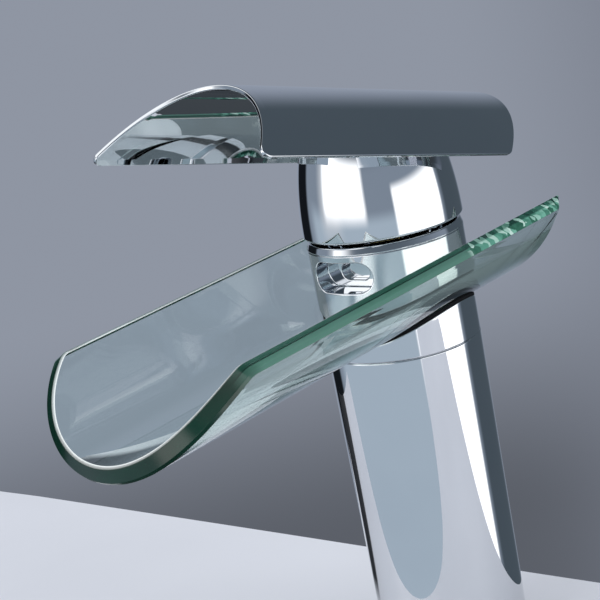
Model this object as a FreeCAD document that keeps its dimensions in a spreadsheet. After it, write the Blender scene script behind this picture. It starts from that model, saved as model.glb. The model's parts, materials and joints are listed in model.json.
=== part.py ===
import FreeCAD, Part
from FreeCAD import Base
import math
import os
import re

import Sketcher

# Waterfall basin faucet: a round column, a curved glass trough clamped between a saddle
# collar and an outlet head, and a dome-shaped handle under a roof-tile lever.
# Frame: +Z up, origin on the column's axis in the plane of the deck, spout towards -Y.
# Lengths in millimetres, angles in degrees.

DRIVING = {
    # column and its foot
    "column_height": 96.5,
    "column_top_radius": 22.3,
    "column_foot_radius": 21.6,
    "column_bore_radius": 19.0,
    "column_web": 12.0,
    "seam_bevel": 0.3,
    "foot_block_height": 16.0,
    "inlet_radius": 4.5,
    "inlet_depth": 12.0,
    "inlet_offset_x": 7.5,
    "inlet_offset_y": 4.0,
    "base_seal_inner": 16.0,
    "base_seal_outer": 18.4,
    "base_seal_height": 2.5,
    # risers
    "riser_radius": 3.5,
    "riser_bore": 2.6,
    "riser_seal_radius": 4.4,
    "riser_seal_height": 1.5,
    "riser_insertion": 4.0,
    # fixing under the deck
    "deck_thickness": 20.0,
    "stud_radius": 4.0,
    "stud_offset": 11.5,
    "stud_drop": 55.0,
    "stud_insertion": 10.0,
    "stud_chamfer": 0.5,
    "shoe_radius": 26.0,
    "shoe_slot_half_width": 13.5,
    "shoe_slot_start": 3.5,
    "shoe_hole_radius": 4.4,
    "shoe_thickness": 3.0,
    "nut_across_flats": 13.0,
    "nut_height": 8.0,
    # glass spout and what clamps it
    "collar_front_height": 5.1,
    "gasket_thickness": 0.8,
    "gasket_inset": 0.35,
    "glass_outer_radius": 40.4,
    "glass_thickness": 5.0,
    "glass_half_angle": 63.3,
    "glass_tilt": 2.0,
    "glass_tip_reach": 118.5,
    "glass_front_radius": 55.0,
    "glass_front_corner": 5.0,
    "glass_rear_reach": 36.3,
    "glass_rear_lean": 7.0,
    "glass_rear_corner": 1.5,
    "glass_hole_radius": 15.0,
    "neck_radius": 14.0,
    "neck_way_radius": 2.8,
    "neck_seal_depth": 1.2,
    "neck_seal_height": 1.6,
    # outlet head
    "head_radius": 22.5,
    "rim_above_seam": 34.5,
    "handle_gap": 0.8,
    "trim_height": 2.6,
    "trim_land": 0.3,
    "trim_top_radius": 20.3,
    "spigot_radius": 18.4,
    "spigot_drop": 1.0,
    "outlet_width": 20.4,
    "outlet_height": 8.6,
    "outlet_below_rim": 9.7,
    "outlet_depth": 7.5,
    "outlet_window_width": 10.0,
    # cartridge
    "cartridge_radius": 12.4,
    "cartridge_floor_below_rim": 19.0,
    "cartridge_base_height": 2.0,
    "cartridge_wall": 0.9,
    "cartridge_top_below_rim": 3.5,
    "cartridge_cap": 3.0,
    "cartridge_mouth": 9.5,
    "port_radius": 2.2,
    "port_seal_radius": 3.4,
    "port_seal_height": 1.0,
    "disc_port_radius": 1.9,
    "disc_outlet_radius": 3.0,
    "disc_outlet_offset": 6.0,
    "fixed_outlet_radius": 2.6,
    "fixed_disc_height": 1.6,
    "moving_disc_radius": 9.5,
    "moving_disc_height": 2.5,
    "disc_pocket_half": 1.8,
    "disc_pocket_depth": 1.6,
    "disc_mix_radius": 3.5,
    "disc_mix_depth": 0.4,
    "pivot_below_rim": 10.2,
    "pin_radius": 1.2,
    "pin_half_length": 10.0,
    "carrier_flange_radius": 11.2,
    "carrier_flange_height": 5.0,
    "carrier_top_below_rim": 1.6,
    "stem_half_width": 3.2,
    "stem_eye_radius": 2.4,
    "stem_tip_radius": 1.3,
    "stem_tip_below_pivot": 2.6,
    "stem_above_rim": 17.5,
    "housing_seal_height": 1.4,
    "housing_seal_depth": 0.8,
    "housing_seal_inset": 0.8,
    "cartridge_nut_radius": 15.95,
    "cartridge_nut_bore": 10.0,
    "cartridge_nut_height": 2.5,
    "nut_notch_width": 3.0,
    "nut_notch_depth": 1.0,
    # handle
    "dome_radius": 23.0,
    "dome_rise": 48.0,
    "dome_wall": 1.4,
    "dome_hollow_rise": 30.0,
    "boss_radius": 7.5,
    "boss_above_rim": 4.0,
    "grub_radius": 2.5,
    "grub_length": 4.6,
    "grub_above_rim": 12.0,
    "index_radius": 3.0,
    "lever_outer_radius": 35.7,
    "lever_thickness": 1.3,
    "lever_half_angle": 62.6,
    "lever_lift": 13.5,
    "lever_edge_above_rim": 19.05,
    "lever_front_reach": 78.0,
    "lever_rear_reach": 23.5,
    "lever_front_setback": 17.1,
    "lever_rear_overhang": 21.6,
    "lever_front_corner": 2.1,
    "lever_rear_corner": 4.0,
    # named clearances
    "thread_clearance": 0.05,
    "slip_clearance": 0.1,
    "running_clearance": 0.1,
    "pin_clearance": 0.08,
    "free_clearance": 0.3,
    # how far cutting tools run past a face
    "past_face": 1.0,
}

# Sizes that follow from the driving ones.
DERIVED = {
    "rim_z": "column_height + rim_above_seam",
    "glass_low_z": "column_height + collar_front_height + gasket_thickness",
    "glass_inner_radius": "glass_outer_radius - glass_thickness",
    "glass_axis_rise": "glass_outer_radius",
    "web_low_z": "column_height - column_web",
    "trim_top_z": "rim_z - handle_gap",
    "trim_low_z": "trim_top_z - trim_height",
    "floor_z": "rim_z - cartridge_floor_below_rim",
    "base_top_z": "floor_z + cartridge_base_height",
    "disc_face_z": "base_top_z + fixed_disc_height",
    "disc_top_z": "disc_face_z + moving_disc_height",
    "pivot_z": "rim_z - pivot_below_rim",
    "carrier_low_z": "disc_top_z + free_clearance",
    "carrier_top_z": "rim_z - carrier_top_below_rim",
    "housing_top_z": "rim_z - cartridge_top_below_rim",
    "outlet_z": "rim_z - outlet_below_rim",
    "grub_z": "rim_z + grub_above_rim",
    "shoe_top_z": "-deck_thickness",
    "plate_top_z": "-deck_thickness - shoe_thickness",
    "stud_nut_top_z": "-deck_thickness - 2 * shoe_thickness",
    "lever_edge_z": "rim_z + lever_edge_above_rim",
    "lever_inner_radius": "lever_outer_radius - lever_thickness",
    "lever_crown_rise": "lever_outer_radius * (1 - cos(lever_half_angle))",
    "neck_seal_low_z": "column_height - column_web / 2",
    "neck_seal_high_z": "floor_z - 1.5 * neck_seal_height",
    "housing_seal_z": "housing_top_z - cartridge_cap + housing_seal_inset",
    "plug_start": "boss_radius + past_face",
}

doc = FreeCAD.newDocument("waterfall_faucet")
sheet = doc.addObject("Spreadsheet::Sheet", "Sizes")
for row, (alias, number) in enumerate(DRIVING.items(), start=1):
    sheet.set("A%d" % row, alias)
    sheet.set("B%d" % row, str(number))
    sheet.setAlias("B%d" % row, alias)
for row, (alias, formula) in enumerate(DERIVED.items(), start=1):
    sheet.set("D%d" % row, alias)
    sheet.set("E%d" % row, "=" + formula)
    sheet.setAlias("E%d" % row, alias)
doc.recompute()

NODES = []
X_AXIS = FreeCAD.Vector(1, 0, 0)
Y_AXIS = FreeCAD.Vector(0, 1, 0)
Z_AXIS = FreeCAD.Vector(0, 0, 1)


def size(alias):
    """Present value of one cell."""
    return float(sheet.get(alias))


def bound(text):
    """Formula in words turned into one that reads the sheet."""
    def with_sheet(match):
        word = match.group(0)
        return "Sizes." + word if word in DRIVING or word in DERIVED else word

    return re.sub(r"[a-z][a-z_]*", with_sheet, text)


def bind(thing, **formulas):
    for prop, text in formulas.items():
        thing.setExpression(prop.replace("__", "."), bound(text))
    return thing


def place(thing, x="0", y="0", z="0"):
    return bind(thing, Placement__Base__x=x, Placement__Base__y=y, Placement__Base__z=z)


def cylinder(name, radius, height, x="0", y="0", z="0"):
    return place(bind(doc.addObject("Part::Cylinder", name), Radius=radius, Height=height), x, y, z)


def cross_cylinder(name, radius, start, length, along, y="0", z="0"):
    """Cylinder lying along X or Y, from start over length."""
    rod = bind(doc.addObject("Part::Cylinder", name), Radius=radius, Height=length)
    if along == "X":
        rod.Placement.Rotation = FreeCAD.Rotation(Y_AXIS, 90)
        return place(rod, start, y, z)
    rod.Placement.Rotation = FreeCAD.Rotation(X_AXIS, -90)
    return place(rod, "0", start, z)


def block(name, half_x, y_low, length_y, z_low, height):
    """Box centred on X = 0."""
    box = bind(doc.addObject("Part::Box", name), Length="2 * (%s)" % half_x, Width=length_y, Height=height)
    return place(box, "-(%s)" % half_x, y_low, z_low)


def fuse(name, *things):
    both = doc.addObject("Part::MultiFuse", name)
    both.Shapes = list(things)
    return both


def cut(name, base, *tools):
    left = doc.addObject("Part::Cut", name)
    left.Base = base
    left.Tool = tools[0] if len(tools) == 1 else fuse(name + "_tools", *tools)
    return left


def common(name, *things):
    shared = doc.addObject("Part::MultiCommon", name)
    shared.Shapes = list(things)
    return shared


def ring(name, outer, inner, height, z, x="0", y="0"):
    """Flat ring about a vertical line."""
    return cut(name, cylinder(name + "_outer", outer, height, x, y, z),
               cylinder(name + "_inner", inner, height, x, y, z))


def node(thing, label):
    """Register a finished sub-part under its own name."""
    thing.Label = label
    NODES.append(thing)
    return thing


def origin_plane(body, role):
    return next(f for f in body.Origin.OriginFeatures if f.Role == role)


def outline_sketch(body, name, role, points):
    """Closed outline on one of the body's own planes; every corner is tied to the sheet."""
    sketch = body.newObject("Sketcher::SketchObject", name)
    sketch.AttachmentSupport = [(origin_plane(body, role), "")]
    sketch.MapMode = "FlatFace"
    count = len(points)
    start = [FreeCAD.Vector(20 + 10 * math.cos(2 * math.pi * i / count),
                            20 + 10 * math.sin(2 * math.pi * i / count), 0) for i in range(count)]
    for i in range(count):
        sketch.addGeometry(Part.LineSegment(start[i], start[(i + 1) % count]), False)
    for i in range(count):
        sketch.addConstraint(Sketcher.Constraint("Coincident", i, 2, (i + 1) % count, 1))
    for i, (across, up) in enumerate(points):
        for kind, text in (("DistanceX", across), ("DistanceY", up)):
            if str(text) == "0":
                line = -2 if kind == "DistanceX" else -1
                sketch.addConstraint(Sketcher.Constraint("PointOnObject", i, 1, line))
                continue
            index = sketch.addConstraint(Sketcher.Constraint(kind, -1, 1, i, 1, 10.0))
            sketch.setExpression("Constraints[%d]" % index, bound(text))
    return sketch


def turned(label, points):
    """Solid of revolution about Z from (radius, height) corners."""
    body = doc.addObject("PartDesign::Body", label)
    sketch = outline_sketch(body, label + "_profile", "XZ_Plane", points)
    spin = body.newObject("PartDesign::Revolution", label + "_turned")
    spin.Profile = sketch
    spin.ReferenceAxis = (sketch, ["V_Axis"])
    spin.Angle = 360.0
    body.Tip = spin
    return body


def on_sides(name, make):
    """The same feature on the hot (-X) and cold (+X) side."""
    return [make(name + "_hot", "-inlet_offset_x"), make(name + "_cold", "inlet_offset_x")]


# ---------------------------------------------------------------- column and foot

def column_shell():
    body = turned("column_shell", [
        ("column_bore_radius", "0"),
        ("column_foot_radius", "0"),
        ("column_top_radius", "column_height - seam_bevel"),
        ("column_top_radius - seam_bevel", "column_height"),
        ("neck_radius + thread_clearance", "column_height"),
        ("neck_radius + thread_clearance", "web_low_z"),
        ("column_bore_radius", "web_low_z"),
    ])
    return node(body, "column_shell")


def inlet_block():
    """Brass disc that closes the foot and holds the two hose threads and the stud thread."""
    blank = cylinder("foot_blank", "column_bore_radius - thread_clearance", "foot_block_height")
    groove = ring("foot_groove", "base_seal_outer", "base_seal_inner", "base_seal_height", "0")
    inlets = on_sides("foot_inlet", lambda n, x: cylinder(n, "inlet_radius", "inlet_depth", x, "inlet_offset_y"))
    sockets = on_sides("foot_socket", lambda n, x: cylinder(
        n, "riser_radius", "foot_block_height - inlet_depth", x, "inlet_offset_y", "inlet_depth"))
    seats = on_sides("foot_seal_seat", lambda n, x: cylinder(
        n, "riser_seal_radius", "riser_seal_height", x, "inlet_offset_y",
        "foot_block_height - riser_seal_height"))
    stud_hole = cylinder("foot_stud_hole", "stud_radius", "stud_insertion", "0", "-stud_offset")
    return node(cut("foot_cut", blank, groove, stud_hole, *inlets, *sockets, *seats), "inlet_block")


def base_seal():
    return node(ring("seal_ring", "base_seal_outer", "base_seal_inner", "base_seal_height", "0"), "base_seal")


def riser(side, x):
    """Brass tube that carries water from the foot to the neck."""
    length = "web_low_z + riser_insertion - inlet_depth"
    tube = cut(side + "_tube", cylinder(side + "_wall", "riser_radius", length, x, "inlet_offset_y", "inlet_depth"),
               cylinder(side + "_bore", "riser_bore", length, x, "inlet_offset_y", "inlet_depth"))
    return node(tube, side + "_riser")


def riser_seals():
    lows = on_sides("low_seal", lambda n, x: ring(
        n, "riser_seal_radius", "riser_radius", "riser_seal_height",
        "foot_block_height - riser_seal_height", x, "inlet_offset_y"))
    highs = on_sides("high_seal", lambda n, x: ring(
        n, "riser_seal_radius", "riser_radius", "riser_seal_height", "web_low_z", x, "inlet_offset_y"))
    return node(fuse("riser_seal_set", *lows, *highs), "riser_seals")


# ---------------------------------------------------------------- fixing under the deck

def fixing_stud():
    """Threaded stud, drawn plain at its outer diameter."""
    body = turned("fixing_stud", [
        ("0", "0"),
        ("stud_radius - stud_chamfer", "0"),
        ("stud_radius", "stud_chamfer"),
        ("stud_radius", "stud_drop + stud_insertion - stud_chamfer"),
        ("stud_radius - stud_chamfer", "stud_drop + stud_insertion"),
        ("0", "stud_drop + stud_insertion"),
    ])
    place(body, "0", "-stud_offset", "-stud_drop")
    return node(body, "fixing_stud")


def horseshoe(label, top):
    """Crescent with a slot to the rear for the hoses and a hole for the stud."""
    low = "%s - shoe_thickness" % top
    disc = cylinder(label + "_disc", "shoe_radius", "shoe_thickness", "0", "0", low)
    slot = block(label + "_slot", "shoe_slot_half_width", "-shoe_slot_start",
                 "shoe_slot_start + shoe_radius", low, "shoe_thickness")
    hole = cylinder(label + "_hole", "shoe_hole_radius", "shoe_thickness", "0", "-stud_offset", low)
    return node(cut(label + "_cut", disc, slot, hole), label)


def stud_nut():
    hexagon = doc.addObject("Part::Prism", "nut_hexagon")
    hexagon.Polygon = 6
    bind(hexagon, Circumradius="nut_across_flats / (2 * cos(30))", Height="nut_height")
    place(hexagon, "0", "-stud_offset", "stud_nut_top_z - nut_height")
    hole = cylinder("nut_hole", "stud_radius + thread_clearance", "nut_height", "0", "-stud_offset",
                    "stud_nut_top_z - nut_height")
    return node(cut("nut_cut", hexagon, hole), "stud_nut")


# ---------------------------------------------------------------- glass clamp

def trough_cylinder(name, radius):
    """Full cylinder on the trough's own tilted axis, long enough to pass the body."""
    tool = bind(doc.addObject("Part::Cylinder", name), Radius=radius, Height="4 * head_radius")
    tool.Placement.Rotation = FreeCAD.Rotation(X_AXIS, 90 + size("glass_tilt"))
    bind(tool, Placement__Rotation__Angle="90 + glass_tilt")
    return place(tool, "0",
                 "2 * head_radius * cos(glass_tilt) - glass_axis_rise * sin(glass_tilt)",
                 "glass_low_z + glass_axis_rise * cos(glass_tilt) + 2 * head_radius * sin(glass_tilt)")


def saddle_layer(name, label, outer, inner, far_radius, near_radius):
    """Ring cut from the layer between two cylinders on the trough's axis."""
    layer = cut(name + "_layer", trough_cylinder(name + "_far", far_radius),
                trough_cylinder(name + "_near", near_radius))
    band = ring(name + "_band", outer, inner, "rim_above_seam", "column_height")
    return node(common(name + "_saddle", layer, band), label)


def glass_collar():
    """Chromed wedge with a saddle top that carries the glass."""
    body = turned("collar_blank", [
        ("neck_radius + slip_clearance", "column_height"),
        ("column_top_radius - seam_bevel", "column_height"),
        ("column_top_radius", "column_height + seam_bevel"),
        ("column_top_radius", "rim_z"),
        ("neck_radius + slip_clearance", "rim_z"),
    ])
    seat = trough_cylinder("collar_seat", "glass_outer_radius + gasket_thickness")
    return node(cut("collar_cut", body, seat), "glass_collar")


def neck_plug():
    """Threaded brass neck: clamps head, glass and column, and carries both waterways."""
    blank = cylinder("neck_blank", "neck_radius", "floor_z - web_low_z", "0", "0", "web_low_z")
    ways = on_sides("neck_way", lambda n, x: cylinder(
        n, "neck_way_radius", "floor_z - web_low_z", x, "inlet_offset_y", "web_low_z"))
    sockets = on_sides("neck_socket", lambda n, x: cylinder(
        n, "riser_radius", "riser_insertion", x, "inlet_offset_y", "web_low_z"))
    seats = on_sides("neck_seal_seat", lambda n, x: cylinder(
        n, "riser_seal_radius", "riser_seal_height", x, "inlet_offset_y", "web_low_z"))
    grooves = [ring("neck_groove_low", "neck_radius + past_face", "neck_radius - neck_seal_depth",
                    "neck_seal_height", "neck_seal_low_z"),
               ring("neck_groove_high", "neck_radius + past_face", "neck_radius - neck_seal_depth",
                    "neck_seal_height", "neck_seal_high_z")]
    return node(cut("neck_cut", blank, *ways, *sockets, *seats, *grooves), "neck_plug")


def neck_seals():
    rings = [ring("neck_ring_low", "neck_radius", "neck_radius - neck_seal_depth",
                  "neck_seal_height", "neck_seal_low_z"),
             ring("neck_ring_high", "neck_radius", "neck_radius - neck_seal_depth",
                  "neck_seal_height", "neck_seal_high_z")]
    return node(fuse("neck_ring_set", *rings), "neck_seals")


def corner_arc(curve, edge, radius, sense):
    """Arc that rounds the corner between the long edge and an end curve of a developed plate.

    The plate's points are (across, along); sense is 1 at the front and -1 at the rear. The
    centre lies one radius inside the long edge, where the end curve is one radius away.
    Gives the centre and the point where the arc meets the end curve.
    """
    steps = 2000
    across = [edge * k / steps for k in range(steps + 1)]
    inside, outside = (curve(edge) - sense * 6 * radius, curve(edge) + sense * 2 * radius)
    for _ in range(40):
        along = (inside + outside) / 2
        near = min(across, key=lambda w: math.hypot(w - edge + radius, curve(w) - along))
        gap = math.hypot(near - edge + radius, curve(near) - along)
        inside, outside = (along, outside) if gap > radius else (inside, along)
    turn = math.atan2(curve(near) - inside, near - edge + radius)
    return (edge - radius, inside), (edge - radius + radius * math.cos(turn), inside + radius * math.sin(turn))


def plan_curves(bend, edge, front, rear, front_corner, rear_corner):
    """Closed outline of a developed plate, as curves in the parameters of a cylinder along +Z.

    bend is the radius that the plate is developed on; its middle line lies towards -Y.
    """
    place = lambda w, s: Base.Vector2d(w / bend + 1.5 * math.pi, s)
    curves = []
    ends = []
    for curve, radius, sense in ((front, front_corner, 1), (rear, rear_corner, -1)):
        (w, s), touch = corner_arc(curve, edge, radius, sense)
        for side in (1, -1):
            ellipse = Part.Geom2d.Ellipse2d(place(side * w, s + radius), place(side * w + radius, s),
                                            place(side * w, s))
            span = sorted(ellipse.parameter(place(*p)) for p in ((side * edge, s), (side * touch[0], touch[1])))
            if span[1] - span[0] > math.pi:
                span = [span[1], span[0] + 2 * math.pi]
            curves.append(Part.Geom2d.ArcOfEllipse2d(ellipse, *span))
        steps = 40
        row = [touch[0] * (2 * k / steps - 1) for k in range(1, steps)]
        line = Part.Geom2d.BSplineCurve2d()
        line.interpolate([place(-touch[0], touch[1])] + [place(k, curve(k)) for k in row] + [place(*touch)])
        curves.append(line)
        ends.append(s)
    for side in (1, -1):
        curves.append(Part.Geom2d.Line2dSegment(place(side * edge, ends[0]), place(side * edge, ends[1])))
    return curves


def bent_plate(outer_radius, thickness, half_angle, front, rear, front_corner, rear_corner, rear_lean=0):
    """Bent plate whose edges are cut square to its surface.

    front and rear give the reach of the ends at a distance across the developed outside; the
    rear may lean, so that the inside reaches further back. Local frame: x across, y up from
    the lowest point of the outside, z along the plate.
    """
    edge = outer_radius * math.radians(half_angle)
    skins, rims = [], []
    for radius, lean in ((outer_radius, 0), (outer_radius - thickness, rear_lean)):
        surface = Part.Cylinder()
        surface.Radius = radius
        surface.Center = FreeCAD.Vector(0, outer_radius, 0)
        curves = plan_curves(outer_radius, edge, front, lambda w: rear(w) - lean, front_corner, rear_corner)
        rims.append([curve.toShape(surface) for curve in curves])
        skin = Part.Face(surface, Part.Wire(Part.__sortEdges__(rims[-1])))
        skin.validate()
        skins.append(skin)
    shell = Part.makeShell(skins + [Part.makeRuledSurface(*pair) for pair in zip(*rims)])
    shell.sewShape()
    return Part.makeSolid(shell)


def glass_spout():
    """Bent glass trough: an arc for its front edge, a straight rear edge that leans inwards."""
    radius, wall, half = size("glass_outer_radius"), size("glass_thickness"), size("glass_half_angle")
    arc, tip = size("glass_front_radius"), size("glass_tip_reach")
    plate = bent_plate(radius, wall, half, lambda w: tip - arc + math.sqrt(arc ** 2 - w ** 2),
                       lambda w: -size("glass_rear_reach"), size("glass_front_corner"),
                       size("glass_rear_corner"), size("glass_rear_lean"))
    tilt = size("glass_tilt")
    hole = Part.makeCylinder(size("glass_hole_radius"), 4 * radius, FreeCAD.Vector(0, 0, -2 * radius), Z_AXIS)
    hole.rotate(FreeCAD.Vector(0, 0, 0), X_AXIS, -(90 + tilt))
    glass = doc.addObject("Part::Feature", "glass_plate")
    glass.Shape = plate.cut(hole)
    glass.Placement = FreeCAD.Placement(FreeCAD.Vector(0, 0, size("glass_low_z")),
                                        FreeCAD.Rotation(X_AXIS, 90 + tilt))
    return node(glass, "glass_spout")


# ---------------------------------------------------------------- outlet head

def outlet_head():
    """Upper body: convex saddle below, stadium outlet in front, cartridge bore above."""
    wall = common("head_wall",
                  cylinder("head_blank", "head_radius", "trim_low_z - column_height", "0", "0", "column_height"),
                  trough_cylinder("head_seat", "glass_inner_radius - gasket_thickness"))
    spigot = cylinder("head_spigot", "spigot_radius", "rim_z - spigot_drop - outlet_z", "0", "0", "outlet_z")
    neck_bore = cylinder("head_neck_bore", "neck_radius + thread_clearance", "floor_z - column_height",
                         "0", "0", "column_height")
    seat_bore = cylinder("head_seat_bore", "cartridge_radius + slip_clearance", "rim_z - floor_z",
                         "0", "0", "floor_z")
    nut_bore = cylinder("head_nut_bore", "cartridge_nut_radius + thread_clearance", "rim_z - housing_top_z",
                        "0", "0", "housing_top_z")
    flat = "outlet_width / 2 - outlet_height / 2"
    mouth = block("mouth_middle", flat, "-head_radius - past_face", "outlet_depth + past_face",
                  "outlet_z - outlet_height / 2", "outlet_height")
    ends = []
    for side, sign in (("right", ""), ("left", "-")):
        end = cross_cylinder("mouth_" + side, "outlet_height / 2", "-head_radius - past_face",
                             "outlet_depth + past_face", "Y", z="outlet_z")
        ends.append(bind(end, Placement__Base__x="%s(%s)" % (sign, flat)))
    window = block("mouth_window", "outlet_window_width / 2", "-head_radius + outlet_depth - past_face",
                   "head_radius - outlet_depth - cartridge_radius + 2 * past_face",
                   "floor_z + free_clearance", "outlet_z - floor_z")
    return node(cut("head_cut", fuse("head_solid", wall, spigot), neck_bore, seat_bore, nut_bore,
                    mouth, *ends, window), "outlet_head")


def trim_ring():
    """Bevelled ring that leaves room for the handle's skirt to tip."""
    return node(turned("trim_ring", [
        ("spigot_radius + thread_clearance", "trim_low_z"),
        ("head_radius - seam_bevel", "trim_low_z"),
        ("head_radius", "trim_low_z + trim_land"),
        ("trim_top_radius", "trim_top_z"),
        ("spigot_radius + thread_clearance", "trim_top_z"),
    ]), "trim_ring")


# ---------------------------------------------------------------- cartridge

def cartridge_base():
    blank = cylinder("base_blank", "cartridge_radius", "cartridge_base_height", "0", "0", "floor_z")
    ports = on_sides("base_port", lambda n, x: cylinder(
        n, "port_radius", "cartridge_base_height", x, "inlet_offset_y", "floor_z"))
    seats = on_sides("base_seat", lambda n, x: cylinder(
        n, "port_seal_radius", "port_seal_height", x, "inlet_offset_y", "floor_z"))
    outlet = block("base_outlet", "disc_outlet_radius", "-cartridge_radius - past_face",
                   "cartridge_radius + past_face - disc_outlet_offset + disc_outlet_radius", "floor_z",
                   "cartridge_base_height")
    return node(cut("base_cut", blank, *ports, *seats, outlet), "cartridge_base")


def port_seals():
    rings = on_sides("port_ring", lambda n, x: ring(
        n, "port_seal_radius", "port_radius", "port_seal_height", "floor_z", x, "inlet_offset_y"))
    return node(fuse("port_ring_set", *rings), "port_seals")


def fixed_disc():
    blank = cylinder("fixed_blank", "cartridge_radius - cartridge_wall - slip_clearance", "fixed_disc_height",
                     "0", "0", "base_top_z")
    ports = on_sides("fixed_port", lambda n, x: cylinder(
        n, "disc_port_radius", "fixed_disc_height", x, "inlet_offset_y", "base_top_z"))
    outlet = cylinder("fixed_outlet", "fixed_outlet_radius", "fixed_disc_height", "0",
                      "-disc_outlet_offset", "base_top_z")
    return node(cut("fixed_cut", blank, *ports, outlet), "fixed_disc")


def moving_disc():
    """Ceramic disc moved by the stem's tip, with a mixing recess below."""
    blank = cylinder("moving_blank", "moving_disc_radius", "moving_disc_height", "0", "0", "disc_face_z")
    pocket = block("moving_pocket", "stem_half_width + free_clearance", "-disc_pocket_half",
                   "2 * disc_pocket_half", "disc_top_z - disc_pocket_depth", "disc_pocket_depth")
    recess = cylinder("moving_recess", "disc_mix_radius", "disc_mix_depth", "0",
                      "-disc_outlet_offset / 2", "disc_face_z")
    return node(cut("moving_cut", blank, pocket, recess), "moving_disc")


def cartridge_housing():
    return node(turned("cartridge_housing", [
        ("cartridge_radius - cartridge_wall", "base_top_z"),
        ("cartridge_radius", "base_top_z"),
        ("cartridge_radius", "housing_seal_z"),
        ("cartridge_radius - housing_seal_depth", "housing_seal_z"),
        ("cartridge_radius - housing_seal_depth", "housing_seal_z + housing_seal_height"),
        ("cartridge_radius", "housing_seal_z + housing_seal_height"),
        ("cartridge_radius", "housing_top_z"),
        ("cartridge_mouth", "housing_top_z"),
        ("cartridge_mouth", "housing_top_z - cartridge_cap"),
        ("cartridge_radius - cartridge_wall", "housing_top_z - cartridge_cap"),
    ]), "cartridge_housing")


def housing_seal():
    return node(ring("housing_ring", "cartridge_radius", "cartridge_radius - housing_seal_depth",
                     "housing_seal_height", "housing_seal_z"), "housing_seal")


def stem_carrier():
    """Turning piece that holds the stem's pin; its slot opens to the rear for the lift."""
    flange = cylinder("carrier_flange", "carrier_flange_radius", "carrier_flange_height", "0", "0",
                      "carrier_low_z")
    hub = cylinder("carrier_hub", "cartridge_mouth - running_clearance", "carrier_top_z - carrier_low_z",
                   "0", "0", "carrier_low_z")
    slot_half = "stem_half_width + free_clearance"
    slot = block("carrier_slot", slot_half, "-(%s)" % slot_half, "%s + cartridge_radius" % slot_half,
                 "carrier_low_z", "carrier_top_z - carrier_low_z")
    pin_hole = cross_cylinder("carrier_pin_hole", "pin_radius", "-pin_half_length", "2 * pin_half_length",
                              "X", z="pivot_z")
    return node(cut("carrier_cut", fuse("carrier_solid", flange, hub), slot, pin_hole), "stem_carrier")


def stem_pin():
    return node(cross_cylinder("pin_rod", "pin_radius", "-pin_half_length", "2 * pin_half_length", "X",
                               z="pivot_z"), "stem_pin")


def stem():
    """Square spindle with an eye on the pin: the dome sits on top, its tip drives the disc."""
    upper = block("stem_upper", "stem_half_width", "-stem_half_width", "2 * stem_half_width",
                  "pivot_z + stem_eye_radius", "rim_z + stem_above_rim - pivot_z - stem_eye_radius")
    eye = cross_cylinder("stem_eye", "stem_eye_radius", "-stem_half_width", "2 * stem_half_width", "X",
                         z="pivot_z")
    cheek = block("stem_cheek", "stem_half_width", "-stem_eye_radius", "2 * stem_eye_radius", "pivot_z",
                  "stem_eye_radius")
    neck = block("stem_neck", "stem_half_width", "-stem_tip_radius", "2 * stem_tip_radius",
                 "pivot_z - stem_tip_below_pivot", "stem_tip_below_pivot")
    tip = cross_cylinder("stem_tip", "stem_tip_radius", "-stem_half_width", "2 * stem_half_width", "X",
                         z="pivot_z - stem_tip_below_pivot")
    hole = cross_cylinder("stem_pin_hole", "pin_radius + pin_clearance", "-stem_half_width - past_face",
                          "2 * (stem_half_width + past_face)", "X", z="pivot_z")
    return node(cut("stem_cut", fuse("stem_solid", upper, eye, cheek, neck, tip), hole), "stem")


def cartridge_nut():
    """Ring nut over the cartridge, with six spanner notches."""
    body = turned("cartridge_nut", [
        ("cartridge_nut_bore", "housing_top_z"),
        ("cartridge_nut_radius", "housing_top_z"),
        ("cartridge_nut_radius", "housing_top_z + cartridge_nut_height"),
        ("cartridge_nut_bore", "housing_top_z + cartridge_nut_height"),
    ])
    notch = outline_sketch(body, "notch_outline", "XZ_Plane", [
        ("-nut_notch_width / 2", "housing_top_z + cartridge_nut_height - nut_notch_depth"),
        ("nut_notch_width / 2", "housing_top_z + cartridge_nut_height - nut_notch_depth"),
        ("nut_notch_width / 2", "housing_top_z + cartridge_nut_height + past_face"),
        ("-nut_notch_width / 2", "housing_top_z + cartridge_nut_height + past_face"),
    ])
    doc.recompute()
    whole = body.Shape.Volume
    pocket = body.newObject("PartDesign::Pocket", "notch_pocket")
    pocket.Profile = notch
    bind(pocket, Length="cartridge_nut_radius + past_face")
    body.Tip = pocket
    doc.recompute()
    if body.Shape.Volume > whole - 1:
        pocket.Reversed = True
        doc.recompute()
    pattern = body.newObject("PartDesign::PolarPattern", "notch_pattern")
    pattern.Originals = [pocket]
    pattern.Axis = (notch, ["V_Axis"])
    pattern.Angle = 360.0
    pattern.Occurrences = 6
    body.Tip = pattern
    return node(body, "cartridge_nut")


# ---------------------------------------------------------------- handle

def half_ellipsoid(name, radius, rise):
    """Upper half of an ellipsoid of revolution standing on the rim's plane."""
    shape = doc.addObject("Part::Ellipsoid", name)
    bind(shape, Radius1=rise, Radius2=radius, Radius3=radius)
    shape.Angle1 = 0.0
    shape.Angle2 = 90.0
    return place(shape, z="rim_z")


def lever_cylinder(name, radius):
    """Full cylinder on the lever's own lifted axis."""
    rise = "(lever_outer_radius - lever_crown_rise)"
    tool = bind(doc.addObject("Part::Cylinder", name), Radius=radius, Height="8 * dome_radius")
    tool.Placement.Rotation = FreeCAD.Rotation(X_AXIS, 90 - size("lever_lift"))
    bind(tool, Placement__Rotation__Angle="90 - lever_lift")
    return place(tool, "0",
                 "4 * dome_radius * cos(lever_lift) - %s * sin(lever_lift)" % rise,
                 "lever_edge_z - 4 * dome_radius * sin(lever_lift) - %s * cos(lever_lift)" % rise)


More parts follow.
